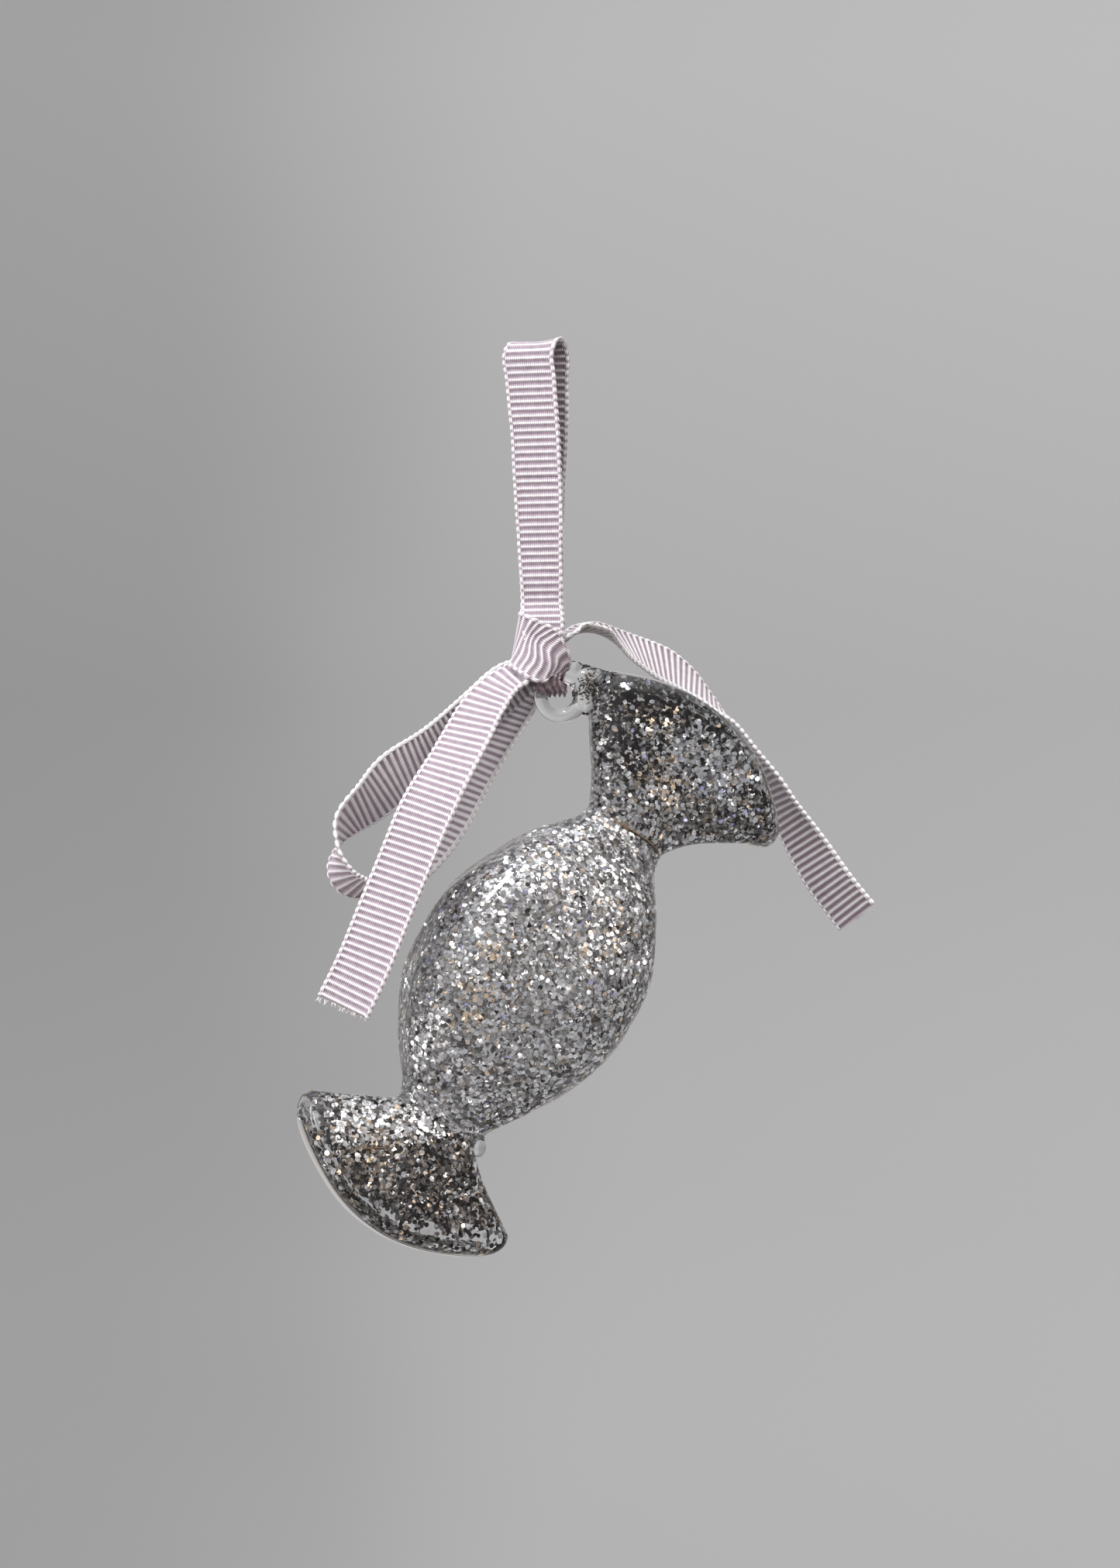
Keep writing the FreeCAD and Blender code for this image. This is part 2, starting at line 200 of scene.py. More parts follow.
def make_stage():
    """A pale floor that sweeps up into a round wall, wide enough for the camera to go all the way round."""
    profile = [(0.0, FLOOR_Z), (0.8, FLOOR_Z), (FLOOR_RADIUS, FLOOR_Z)]
    for step in range(1, FILLET_STEPS + 1):
        angle = math.pi / 2 * step / FILLET_STEPS
        profile.append((FLOOR_RADIUS + FILLET * math.sin(angle), FLOOR_Z + FILLET * (1 - math.cos(angle))))
    profile += [(FLOOR_RADIUS + FILLET, 1.2), (FLOOR_RADIUS + FILLET, 3.0)]
    verts = []
    for radius, z in profile:
        for k in range(STAGE_AROUND):
            turn = 2 * math.pi * k / STAGE_AROUND
            verts.append((radius * math.cos(turn), radius * math.sin(turn), z))
    faces = tube_faces(len(profile), STAGE_AROUND)
    mesh = bpy.data.meshes.new("studio_floor")
    mesh.from_pydata(verts, [], faces)
    mesh.polygons.foreach_set("use_smooth", [True] * len(faces))
    mesh.materials.append(stage_material())
    stage = link(bpy.data.objects.new("studio_floor", mesh))
    stage.visible_shadow = False
    stage.visible_diffuse = False
    stage.visible_glossy = False


def make_world():
    """A room that is bright towards the window and dim behind the viewer and below."""
    world = bpy.data.worlds.new("studio")
    bpy.context.scene.world = world
    world.use_nodes = True
    tree = world.node_tree
    heading = add_node(tree, "TexCoord").outputs["Generated"]
    towards = add_node(tree, "VectorMath", {0: heading, 1: WINDOW_SIDE}, operation="DOT_PRODUCT")
    spread = add_node(tree, "MapRange", {"Value": towards.outputs["Value"], "From Min": -1.0})
    room = add_ramp(tree, spread.outputs["Result"], ROOM_TONES)
    split = add_node(tree, "SeparateXYZ", {"Vector": heading})
    rear = {"Value": split.outputs["Y"], "From Min": 0.1, "From Max": 0.9, "To Max": 0.16}
    wall = add_node(tree, "MapRange", rear)
    both = mix_colours(tree, "ADD", room, wall.outputs["Result"])
    set_inputs(tree, tree.nodes["Background"], {"Strength": 2.0, "Color": both})


def area_light(name, place, size, power, colour=WHITE):
    data = bpy.data.lights.new(name, "AREA")
    data.shape = "RECTANGLE"
    data.size, data.size_y = size
    data.energy = power
    data.color = colour
    light = link(bpy.data.objects.new(name, data))
    light.location = place
    aim = Vector(LAMP_AIM) - Vector(place)
    light.rotation_mode = "QUATERNION"
    light.rotation_quaternion = aim.to_track_quat("-Z", "Y")
    light.visible_camera = False
    return light


def make_light():
    """A key lamp and a window, and three fills that don't show in glossy reflections."""
    make_world()
    bpy.context.scene.view_settings.view_transform = "Standard"
    area_light("key", (-0.40, -0.68, 1.20), (0.12, 0.30), 13.8, (1.0, 0.99, 1.0))
    area_light("window", (-1.1, -0.45, 0.15), (0.14, 0.7), 3.0)
    for name, place, size, power, colour in (
            ("back", (0.35, 1.1, 0.75), (0.4, 0.3), 6.0, WHITE),
            ("fill_right", (0.9, -0.7, 0.7), (0.8, 0.8), 6.5, WARM),
            ("fill_left", (-1.0, -0.8, -0.5), (0.8, 0.8), 5.5, WARM)):
        fill = area_light(name, place, size, power, colour)
        fill.visible_glossy = False
        fill.visible_transmission = name != "back"


# ---------------------------------------------------------------- materials
def ribbon_material():
    """Cross-ribbed mauve cloth: painted highlight on each rib's crest, painted shade in the grooves, fine
    warp threads along it.
    """
    material, tree, shader = new_material("grosgrain")
    place = object_place(tree)
    rib = add_node(tree, "Attribute", attribute_name="rib").outputs["Fac"]
    # The rib tone runs from painted shade in the grooves, through the cloth's own mauve, to a painted
    # highlight on the crests.
    stops = ((0.0, (0.30, 0.235, 0.28)), (0.45, (0.40, 0.33, 0.385)),
             (0.72, (0.50, 0.43, 0.48)), (0.92, (0.82, 0.80, 0.82)))
    rib_colour_and_painted_light = add_ramp(tree, rib, stops, "EASE")
    weave = add_node(tree, "UVMap", uv_map="weave").outputs["UV"]
    bands = {"Vector": weave, "Scale": 8.6, "Distortion": 0.6, "Detail": 1.0}
    warp = add_node(tree, "TexWave", bands, wave_type="BANDS", bands_direction="X").outputs["Fac"]
    fuzz = add_node(tree, "TexNoise", {"Vector": place, "Scale": 900.0, "Detail": 4.0}).outputs["Fac"]
    shade = add_node(tree, "MapRange", {"Value": warp, "To Min": 0.62, "To Max": 1.10}).outputs["Result"]
    tint = mix_colours(tree, "MULTIPLY", rib_colour_and_painted_light, shade)
    mottle = mix_colours(tree, "OVERLAY", tint, fuzz, 0.35)
    height = add_node(tree, "Math", {0: fuzz, 1: 0.5, 2: warp}, operation="MULTIPLY_ADD").outputs["Value"]
    bump = add_bump(tree, height, 0.7, 0.00006)
    set_inputs(tree, shader, {"Base Color": mottle, "Normal": bump, "Roughness": 0.52,
                              "Sheen Weight": 0.25, "Sheen Roughness": 0.4})
    return material


def plain_material(name, colour, metallic, roughness):
    """A material with fine mottling, for threads and foil, and for the eye's cloth drawn in painted shade."""
    material, tree, shader = new_material(name)
    place = object_place(tree)
    noise = add_node(tree, "TexNoise", {"Vector": place, "Scale": 1500.0})
    stops = ((0.35, tuple(0.55 * c for c in colour)), (0.65, colour))
    mottle = add_ramp(tree, noise.outputs["Fac"], stops)
    set_inputs(tree, shader, {"Base Color": mottle, "Metallic": metallic, "Roughness": roughness})
    return material


def glass_material():
    """Clear glass that lets the lamps reach what is inside it."""
    material, tree, shader = new_material("clear_glass")
    place = object_place(tree)
    ripple = add_node(tree, "TexNoise", {"Vector": place, "Scale": 180.0, "Detail": 1.0})
    bump = add_bump(tree, ripple.outputs["Fac"], 0.12, 0.0004)
    set_inputs(tree, shader, {"Base Color": (0.985, 0.99, 0.99, 1), "Roughness": 0.0, "IOR": 1.5,
                              "Transmission Weight": 1.0, "Normal": bump})
    clear = add_node(tree, "BsdfTransparent", {"Color": (0.93, 0.94, 0.94, 1)}).outputs["BSDF"]
    shadow = add_node(tree, "LightPath").outputs["Is Shadow Ray"]
    mix = add_node(tree, "MixShader", {"Fac": shadow, 1: shader.outputs["BSDF"], 2: clear})
    set_inputs(tree, tree.nodes["Material Output"], {"Surface": mix.outputs["Shader"]})
    return material


def flake_material():
    """Metallised film flakes, each with its own colour, which in places holds painted highlight and painted
    shade.
    """
    material, tree, shader = new_material("glitter_flakes")
    colour = add_node(tree, "Attribute", attribute_name="flake").outputs["Color"]
    set_inputs(tree, shader, {"Base Color": colour, "Metallic": 0.90, "Roughness": 0.19})
    return material


def lining_material(name, stops):
    """The glue and broken flakes behind the first layer: dull cells."""
    material, tree, shader = new_material(name)
    place = object_place(tree)
    cells = add_node(tree, "TexVoronoi", {"Vector": place, "Scale": 1700.0})
    grey = add_node(tree, "SeparateColor", {"Color": cells.outputs["Color"]})
    colour = add_ramp(tree, grey.outputs["Red"], stops)
    bump = add_bump(tree, cells.outputs["Distance"], 0.6, 0.0002)
    set_inputs(tree, shader, {"Base Color": colour, "Normal": bump, "Metallic": 0.7, "Roughness": 0.38})
    return material


RIBBON_MATERIAL = ribbon_material()
# Painted shade: the cloth that runs through the eye is drawn in this darker plain colour.
PAINTED_SHADE_RIBBON = plain_material("grosgrain_painted_shade", (0.34, 0.27, 0.30), 0.0, 0.7)
FRAY_MATERIAL = plain_material("frayed_thread", (0.86, 0.82, 0.85), 0.0, 0.7)
GOLD_FOIL = plain_material("gold_foil", (0.62, 0.40, 0.22), 0.9, 0.30)
GLASS_MATERIAL = glass_material()
FLAKE_MATERIAL = flake_material()
SILVER_LINING = lining_material("silver_lining", (
    (0.0, (0.10, 0.10, 0.10)), (0.4, (0.30, 0.30, 0.30)),
    (0.75, (0.55, 0.54, 0.53)), (0.92, (0.80, 0.77, 0.73))))
# Used for the neck crease's painted shadow and for the specks in the lug.
DARK_SPECKS_AND_SHADOW = lining_material("dark_specks_and_shadow", (
    (0.0, (0.012, 0.010, 0.010)), (0.5, (0.05, 0.045, 0.04)),
    (0.8, (0.14, 0.12, 0.10)), (0.95, (0.40, 0.33, 0.26))))


# ---------------------------------------------------------------- ribbon
RIBBON_WIDTH = 10.0
RIB_PITCH = 1.28
RIB_SHAPE = (0.0, 0.16, 0.32, 0.44, 0.56, 0.68, 0.84)  # where each rib is sampled, as a share of its pitch
RIB_THICK = 0.34  # half thickness on a rib's crest
GROOVE_THICK = 0.13  # half thickness between ribs
BODY_COLUMNS = 9
SELVEDGE = 0.55  # width of the corded edge
CORD_SHAPE = np.array([0.22, 0.45, 0.70, 0.90, 1.0])  # where the cord is sampled, as a share of its width
CORD_EDGE = 0.05  # half thickness at the cord's edge
CORD_THICK = (0.08, 0.34)  # what the cord adds to that between beads, and what a bead adds again
BEAD_REACH = 0.40  # how far a bead stands out sideways
BEAD_LAG = 0.12  # how far the beads trail the ribs, as a share of the pitch
CORD_TONE_AND_HIGHLIGHT = (0.66, 0.26)  # rib tone of the cord, and the painted highlight that a bead's crest adds to it
LINE_STEPS = 4001
END_GAP = 0.02  # no row is closer to the end of a run than this
HALF_SPAN = 0.05  # the direction along a run is taken over this far each way


def cubic_through(points, places):
    """Natural cubic spline through the points, whose parameters are the chord lengths, read at the places."""
    points = np.asarray(points, float)
    knots = np.concatenate([[0.0], np.cumsum(np.linalg.norm(np.diff(points[:, :3], axis=0), axis=1))])
    n = len(points)
    gap = np.diff(knots)
    left = np.eye(n)
    right = np.zeros_like(points)
    for i in range(1, n - 1):
        left[i, i - 1] = gap[i - 1]
        left[i, i] = 2 * (gap[i - 1] + gap[i])
        left[i, i + 1] = gap[i]
        right[i] = 6 * ((points[i + 1] - points[i]) / gap[i] - (points[i] - points[i - 1]) / gap[i - 1])
    bend = np.linalg.solve(left, right)
    t = np.asarray(places) * knots[-1]
    i = np.clip(np.searchsorted(knots, t, side="right") - 1, 0, n - 2)
    h = gap[i][:, None]
    a = ((knots[i + 1] - t) / gap[i])[:, None]
    b = 1 - a
    curve = (a ** 3 - a) * bend[i] + (b ** 3 - b) * bend[i + 1]
    return a * points[i] + b * points[i + 1] + curve * h * h / 6


class Strip:
    """A run of ribbon, sampled rib by rib.

    Each station is a place on the middle line, the direction across the ribbon, and its width as a share of
    the full width, which is 1 where it is left out. A square run has its ribs at right angles to its line."""

    def __init__(self, stations, square=True):
        data = np.array([list(s[0]) + list(s[1]) + [s[2] if len(s) > 2 else 1.0] for s in stations], float)
        data[:, 3:6] = unit(data[:, 3:6])
        fine = cubic_through(data, np.linspace(0, 1, LINE_STEPS))
        length = np.concatenate([[0.0], np.cumsum(np.linalg.norm(np.diff(fine[:, :3], axis=0), axis=1))])
        self.length = length[-1]
        ribs = np.arange(0, self.length / RIB_PITCH + 1)
        s = np.concatenate([(ribs + share) * RIB_PITCH for share in RIB_SHAPE])
        s = np.sort(s[(s > END_GAP) & (s < self.length - END_GAP)])
        s = np.concatenate([[0.0], s, [self.length]])
        row = np.stack([np.interp(s, length, fine[:, c]) for c in range(7)], 1)
        ahead = np.stack([np.interp(s + HALF_SPAN, length, fine[:, c]) for c in range(3)], 1)
        behind = np.stack([np.interp(s - HALF_SPAN, length, fine[:, c]) for c in range(3)], 1)
        self.s = s
        self.centre = row[:, :3]
        self.along = unit(ahead - behind)
        across = row[:, 3:6] - square * self.along * np.sum(row[:, 3:6] * self.along, 1, keepdims=True)
        self.across = unit(across)
        self.normal = unit(np.cross(self.along, self.across))
        self.width = row[:, 6] * RIBBON_WIDTH

    def part(self, first, last):
        """The same run, cut between two lengths along it."""
        cut = object.__new__(Strip)
        keep = (self.s >= first - 1e-6) & (self.s <= last + 1e-6)
        for name in ("s", "centre", "along", "across", "normal", "width"):
            setattr(cut, name, getattr(self, name)[keep])
        cut.length = cut.s[-1] - cut.s[0]
        return cut

    def mesh(self, name, relief=None, lag=None, shade=1.0, back_painted_light=1.0, material=RIBBON_MATERIAL):
        """A closed mesh with raised ribs and beaded selvedges. Relief lifts it, lag bends its ribs along it.

        The shades scale the rib tone on its two faces, as painted light. Each is a number, or one for each
        row."""
        ridge = 0.5 - 0.5 * np.cos(2 * math.pi * self.s / RIB_PITCH)
        bead = np.sqrt(np.abs(np.cos(math.pi * (self.s / RIB_PITCH + BEAD_LAG))))
        inner = self.width / 2 - SELVEDGE
        body = np.linspace(-1, 1, BODY_COLUMNS)[None, :] * inner[:, None]
        cord = CORD_SHAPE
        reach = SELVEDGE * cord[None, :] + np.clip(cord[None, :] - 0.4, 0, 1) * BEAD_REACH * bead[:, None]
        place = np.concatenate([-(inner[:, None] + reach)[:, ::-1], body, inner[:, None] + reach], 1)
        round_cord = np.sqrt(np.clip(1 - (2 * cord - 1) ** 2, 0.0, 1))[None, :]
        cord_thick = (CORD_THICK[0] + CORD_THICK[1] * bead[:, None]) * round_cord + CORD_EDGE
        rib_thick = GROOVE_THICK + (RIB_THICK - GROOVE_THICK) * ridge[:, None] ** 0.8
        body_thick = rib_thick * np.ones((1, BODY_COLUMNS))
        thick = np.concatenate([cord_thick[:, ::-1], body_thick, cord_thick], 1)
        # Rib tone: painted highlight on the crests of ribs and beads, painted shade between them.
        cord_tone = np.repeat(CORD_TONE_AND_HIGHLIGHT[0] + CORD_TONE_AND_HIGHLIGHT[1] * bead[:, None] ** 2, len(cord), 1)
        tone = np.concatenate([cord_tone, np.repeat(ridge[:, None], BODY_COLUMNS, 1), cord_tone], 1)
        tone = np.concatenate([tone * shade, tone[:, ::-1] * back_painted_light], 1)
        v = place / (self.width / 2)[:, None]
        lift = np.zeros_like(place) if relief is None else relief(self.s[:, None], v)
        slide = np.zeros_like(place) if lag is None else lag(self.s[:, None], v)
        middle = self.centre[:, None] + self.across[:, None] * place[:, :, None]
        base = middle + self.along[:, None] * slide[:, :, None]
        front = base + self.normal[:, None] * (lift + thick)[:, :, None]
        back = base + self.normal[:, None] * (lift - thick)[:, :, None]
        ring = np.concatenate([front, back[:, ::-1]], 1)
        rows, around = ring.shape[:2]
        faces = tube_faces(rows, around, flip=True)
        last = (rows - 1) * around
        for k in range(place.shape[1] - 1):
            faces.append((k, k + 1, around - 2 - k, around - 1 - k))
            faces.append((last + k, last + around - 1 - k, last + around - 2 - k, last + k + 1))
        obj = mesh_piece(name, ring.reshape(-1, 3), faces, material, "grosgrain_ribbon")
        rib = obj.data.attributes.new("rib", "FLOAT", "POINT")
        rib.data.foreach_set("value", tone.astype(np.float32).ravel())
        u = np.concatenate([place, place[:, ::-1]], 1) / RIBBON_WIDTH + 0.5
        uv = np.stack([u, np.repeat(self.s[:, None] / RIBBON_WIDTH, around, 1)], 2).reshape(-1, 2)
        layer = obj.data.uv_layers.new(name="weave")
        index = np.zeros(len(obj.data.loops), int)
        obj.data.loops.foreach_get("vertex_index", index)
        layer.data.foreach_set("uv", uv[index].ravel())
        return obj


WIRE_YAW = math.radians(20.0)
WIRE_AXIS = np.array([math.cos(WIRE_YAW), -math.sin(WIRE_YAW), 0.0])
LOOP_BACK = np.array([math.sin(WIRE_YAW), math.cos(WIRE_YAW), 0.0])
LOOP_RADIUS = 2.36
LOOP_MIDDLE_Z = -2.05
LOOP_STEPS = 8
STRANDS_APART = 0.42  # how far each strand is from their middle where they reach the knot
STRANDS_BELLY = 0.35  # and how much further they stand apart half way down
SPLIT_Z = -24.0
STRAND_END_Z = -46.0
STRAND_DEPTHS = (-4.5, -9.0, -15.7, -21.0, -26.7, -33.0, -39.0, -43.0, STRAND_END_Z)
SHARES = (0.0, 0.31, 0.56, 0.93, 1.0)  # places down the strands where the next three lists are given
FRONT_OFFSET = (-1.85, -0.60, -0.16, 0.10, 0.10)
BACK_OFFSET = (-0.65, -0.60, -1.00, -0.45, -0.40)
STRAND_WIDTH = (0.93, 0.885, 0.875, 0.76, 0.74)
KNOT_ENTRY = (
    ((0.1, -3.0, -52.2), (1.00, 0.00, 0.00), 0.64),
    ((0.1, -2.8, -50.6), (1.00, -0.05, 0.00), 0.70),
    ((0.1, -2.1, -49.0), (0.98, -0.18, 0.00), 0.73),
    ((0.0, -1.2, -47.4), (0.96, -0.28, 0.00), 0.75),
)
KNOT_EXIT = (
    ((-0.3, 0.6, -48.2), (0.98, -0.20, 0.00), 0.72),
    ((-0.3, 0.9, -50.0), (1.00, 0.00, 0.00), 0.62),
)


def strand_stations(side, offsets):
    """One strand, from the loop down: side is -1 for the front strand and 1 for the back one."""
    found = []
    for z in STRAND_DEPTHS:
        share = (LOOP_MIDDLE_Z - z) / (LOOP_MIDDLE_Z - STRAND_END_Z)
        away = LOOP_RADIUS + (STRANDS_APART - LOOP_RADIUS) * share + STRANDS_BELLY * math.sin(math.pi * share)
        centre = WIRE_AXIS * np.interp(share, SHARES, offsets) + LOOP_BACK * away * side
        found.append((centre + UP * z, WIRE_AXIS, float(np.interp(share, SHARES, STRAND_WIDTH))))
    return found


def hanging_stations():
    """From the knot up the front strand, over the hook and down the back strand."""
    over = []
    for step in range(LOOP_STEPS + 1):
        angle = math.pi * step / LOOP_STEPS
        offset = FRONT_OFFSET[0] + (BACK_OFFSET[0] - FRONT_OFFSET[0]) * step / LOOP_STEPS
        centre = WIRE_AXIS * offset - LOOP_BACK * LOOP_RADIUS * math.cos(angle)
        place = centre + UP * (LOOP_MIDDLE_Z + LOOP_RADIUS * math.sin(angle))
        over.append((place, WIRE_AXIS, STRAND_WIDTH[0]))
    front = strand_stations(-1, FRONT_OFFSET)[::-1]
    return list(KNOT_ENTRY) + front + over + strand_stations(1, BACK_OFFSET) + list(KNOT_EXIT)


def saddle(middle):
    """The ribbon's selvedges stand up a little where it bends over the wire, one more than the other."""
    def relief(s, v):
        near = np.exp(-((s - middle) / 2.6) ** 2)
        return -near * (0.40 * v ** 2 + 0.30 * v ** 3)
    return relief


def make_hanging_ribbon():
    run = Strip(hanging_stations(), square=False)
    top = np.argmax(run.centre[:, 2])
    low = round(np.interp(SPLIT_Z, run.centre[:top, 2], run.s[:top]) / RIB_PITCH) * RIB_PITCH
    high = round(np.interp(-SPLIT_Z, -run.centre[top:, 2], run.s[top:]) / RIB_PITCH) * RIB_PITCH
    upper = run.part(low, high).mesh("ribbon_over_hook", saddle(run.s[top]))
    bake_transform(upper)
    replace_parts(upper, "ribbon_hook_bight")
    for name, node, first, last in (
            ("ribbon_front_strand_lower", "ribbon_front_strand", 0.0, low),
            ("ribbon_back_strand_lower", "ribbon_back_strand", high, run.length)):
        piece = run.part(first, last).mesh(name)
        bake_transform(piece)
        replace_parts(piece, node)

LEFT_TAIL = (
    ((-2.2, -1.8, -55.8), (0.75, -0.50, -0.40), 0.52),
    ((-3.7, -2.6, -57.5), (0.75, -0.55, -0.36), 0.62),
    ((-6.5, -3.6, -59.4), (0.74, -0.60, -0.28), 0.74),
    ((-8.9, -4.8, -61.7), (0.76, -0.60, -0.25), 0.86),
    ((-11.0, -6.2, -64.8), (0.76, -0.60, -0.24), 0.94),
    ((-13.0, -7.8, -68.6), (0.77, -0.59, -0.24), 0.98),
    ((-15.2, -9.6, -72.7), (0.80, -0.55, -0.24), 0.98),
    ((-17.9, -11.7, -77.6), (0.86, -0.44, -0.27), 0.98),
    ((-20.2, -13.4, -82.2), (0.90, -0.30, -0.32), 0.97),
    ((-22.5, -15.0, -87.8), (0.90, -0.28, -0.32), 0.96),
    ((-25.0, -16.4, -94.1), (0.90, -0.28, -0.32), 0.96),
    ((-27.8, -17.9, -101.1), (0.89, -0.28, -0.34), 0.96),
    ((-30.7, -19.0, -108.4), (0.89, -0.28, -0.34), 0.97),
    ((-34.2, -19.7, -115.8), (0.90, -0.26, -0.34), 0.98),
)
BOW_LOOP = (
    ((-0.9, 2.2, -55.4), (0.80, 0.20, -0.50), 0.60),
    ((-2.6, 2.4, -58.0), (0.60, 0.30, -0.70), 0.75),
    ((-5.4, 2.2, -60.2), (0.55, 0.30, -0.75), 0.92),
    ((-8.4, 1.7, -62.8), (0.45, 0.40, -0.80)),
    ((-14.3, 0.6, -68.0), (0.36, 0.44, -0.82)),
    ((-21.0, -1.8, -73.2), (0.35, 0.45, -0.82)),
    ((-26.6, -4.3, -77.0), (0.34, 0.46, -0.82)),
    ((-30.2, -5.8, -80.5), (0.36, 0.70, -0.60)),
    ((-33.1, -6.8, -83.0), (0.33, 0.84, -0.42)),
    ((-35.0, -7.3, -85.6), (0.18, 0.94, -0.28)),
    ((-35.7, -7.5, -88.1), (-0.02, 1.00, 0.00)),
    ((-35.7, -7.4, -91.0), (-0.31, 0.94, -0.10)),
    ((-34.8, -7.0, -93.7), (-0.47, 0.87, -0.16)),
    ((-32.9, -6.4, -95.4), (-0.46, 0.84, -0.27)),
    ((-30.0, -5.6, -96.0), (-0.40, 0.85, -0.20)),
    ((-25.3, -4.0, -94.6), (-0.50, 0.80, 0.05)),
    ((-20.6, -2.2, -89.9), (-0.62, 0.72, 0.20)),
    ((-16.6, -0.9, -83.5), (-0.70, 0.65, 0.28)),
    ((-13.9, 0.0, -78.0), (-0.72, 0.62, 0.30)),
    ((-10.2, 1.2, -71.4), (-0.72, 0.62, 0.30)),
    ((-6.4, 3.4, -65.2), (-0.72, 0.62, 0.30)),
    ((-3.8, 4.4, -61.0), (-0.70, 0.60, 0.35), 0.9),
    ((-2.0, 4.2, -57.6), (-0.76, 0.52, 0.35), 0.75),
    ((-0.9, 3.2, -54.6), (-0.90, 0.30, 0.30), 0.62),
)
RIGHT_TAIL = (
    ((2.2, 0.6, -54.6), (0.00, 1.00, 0.00), 0.55),
    ((3.4, 1.3, -52.6), (0.00, 1.00, 0.00), 0.72),
    ((4.4, 2.2, -51.8), (0.00, 1.00, 0.00), 0.86),
    ((5.5, 3.4, -50.9), (0.00, 1.00, 0.00), 0.94),
    ((7.4, 5.4, -50.3), (0.00, 1.00, 0.00)),
    ((9.6, 8.2, -50.4), (0.00, 0.99, 0.08)),
    ((11.4, 10.2, -50.9), (-0.02, 0.97, 0.20)),
    ((13.2, 12.2, -51.7), (-0.08, 0.93, 0.36)),
    ((16.2, 14.9, -53.2), (-0.13, 0.83, 0.54)),
    ((19.7, 17.4, -54.9), (-0.20, 0.68, 0.71)),
    ((23.4, 19.5, -56.6), (-0.24, 0.61, 0.75)),
    ((26.4, 20.9, -58.6), (-0.24, 0.67, 0.70)),
    ((28.9, 21.8, -60.7), (-0.20, 0.78, 0.56)),
    ((31.2, 22.5, -63.1), (-0.12, 0.92, 0.36)),
    ((33.7, 23.0, -65.6), (-0.10, 0.98, 0.11)),
    ((36.6, 23.4, -69.5), (-0.12, 0.99, -0.02)),
    ((39.2, 23.6, -73.8), (-0.23, 0.96, -0.10)),
    ((41.8, 23.6, -78.0), (-0.36, 0.92, -0.12)),
    ((44.0, 23.6, -82.2), (-0.46, 0.87, -0.14)),
    ((46.2, 23.3, -86.0), (-0.58, 0.80, -0.17)),
    ((48.8, 23.0, -90.2), (-0.66, 0.72, -0.22)),
    ((51.4, 22.7, -94.3), (-0.69, 0.67, -0.26)),
    ((54.3, 22.5, -98.2), (-0.69, 0.66, -0.29)),
    ((57.1, 22.3, -101.7), (-0.68, 0.65, -0.35)),
)
KNOT_WRAP = (
    ((3.3, 2.0, -52.2), (0.00, 0.10, 0.99), 0.70),
    ((1.5, 3.9, -51.8), (0.02, 0.03, 1.00), 0.80),
    ((-1.2, 4.4, -51.4), (0.06, 0.00, 1.00), 0.82),
    ((-3.2, 3.4, -51.2), (0.10, 0.00, 0.99), 0.80),
    ((-4.3, 1.6, -51.4), (0.14, 0.00, 0.98), 0.84),
    ((-4.45, -0.5, -51.6), (0.175, 0.02, 0.985), 0.86),
    ((-4.0, -2.1, -52.0), (0.16, 0.06, 0.985), 0.90),
    ((-3.2, -3.2, -52.7), (0.143, 0.10, 0.98), 0.94),
    ((-1.6, -4.0, -53.7), (0.12, 0.12, 0.98), 0.97),
    ((0.15, -4.2, -54.8), (0.15, 0.12, 0.98), 0.99),
    ((1.6, -4.0, -55.6), (0.20, 0.08, 0.97), 0.88),
    ((2.7, -3.4, -56.2), (0.34, 0.04, 0.94), 0.62),
    ((3.4, -2.4, -57.2), (0.62, 0.05, 0.78), 0.40),
    ((3.3, -0.8, -58.0), (0.80, 0.30, 0.50), 0.32),
)
EYE_STRAND = (
    ((0.6, -2.9, -57.4), (0.96, 0.10, 0.20), 0.50),
    ((0.7, -2.8, -59.0), (0.98, 0.05, 0.10), 0.48),
    ((1.2, -2.5, -60.2), (0.99, 0.05, 0.10), 0.42),
    ((2.1, -1.7, -61.2), (1.00, 0.00, 0.05), 0.33),
    ((2.5, 0.0, -61.5), (1.00, 0.00, 0.00), 0.30),
    ((2.4, 1.9, -60.9), (1.00, 0.00, 0.00), 0.36),
    ((1.6, 2.8, -59.0), (1.00, 0.10, 0.00), 0.50),
    ((0.8, 3.0, -57.0), (1.00, 0.10, 0.00), 0.56),
)
WRAP_FRONT = 18.9  # how far along the wrapped turn the middle of its front is
WRAP_LAG_FRONT = 19.2
LOOP_INSIDE_PAINTED_LIGHT = 1.45  # painted light: the ribs inside the loop are drawn this much paler
RIGHT_TAIL_PAINTED_LIGHT = ((0.38, 1.42), (0.58, 1.12))  # painted light on the right tail: (share of its length, shade), start and end of the fall
PLEAT_HEIGHT = 0.50
PLEATS = 3.5


def wrap_relief(s, v):
    """A valley along the middle of the wrapped turn, where it is pulled over itself."""
    front = np.exp(-((s - WRAP_FRONT) / 3.2) ** 2)
    return front * (0.25 - 0.80 * np.exp(-((v - 0.28) / 0.20) ** 2))


def wrap_lag(s, v):
    """The ribs of the wrapped turn are bent by the same pull."""
    front = np.exp(-((s - WRAP_LAG_FRONT) / 3.4) ** 2)
    return front * (0.35 * np.exp(-((v + 0.35) / 0.3) ** 2) - 1.55 * np.exp(-((v - 0.32) / 0.42) ** 2))


def pleats(s, v):
    """Pleats that run along the ribbon where it is squeezed narrow."""
    return PLEAT_HEIGHT * np.cos(PLEATS * math.pi * v + 0.35 * s) * (1 - 0.4 * v ** 2)


def right_tail_painted_light(run):
    """Painted light: the right tail's ribs are drawn palest where it leaves the knot."""
    (first, start), (last, end) = RIGHT_TAIL_PAINTED_LIGHT
    return np.interp(run.s / run.length, (first, last), (start, end))[:, None]


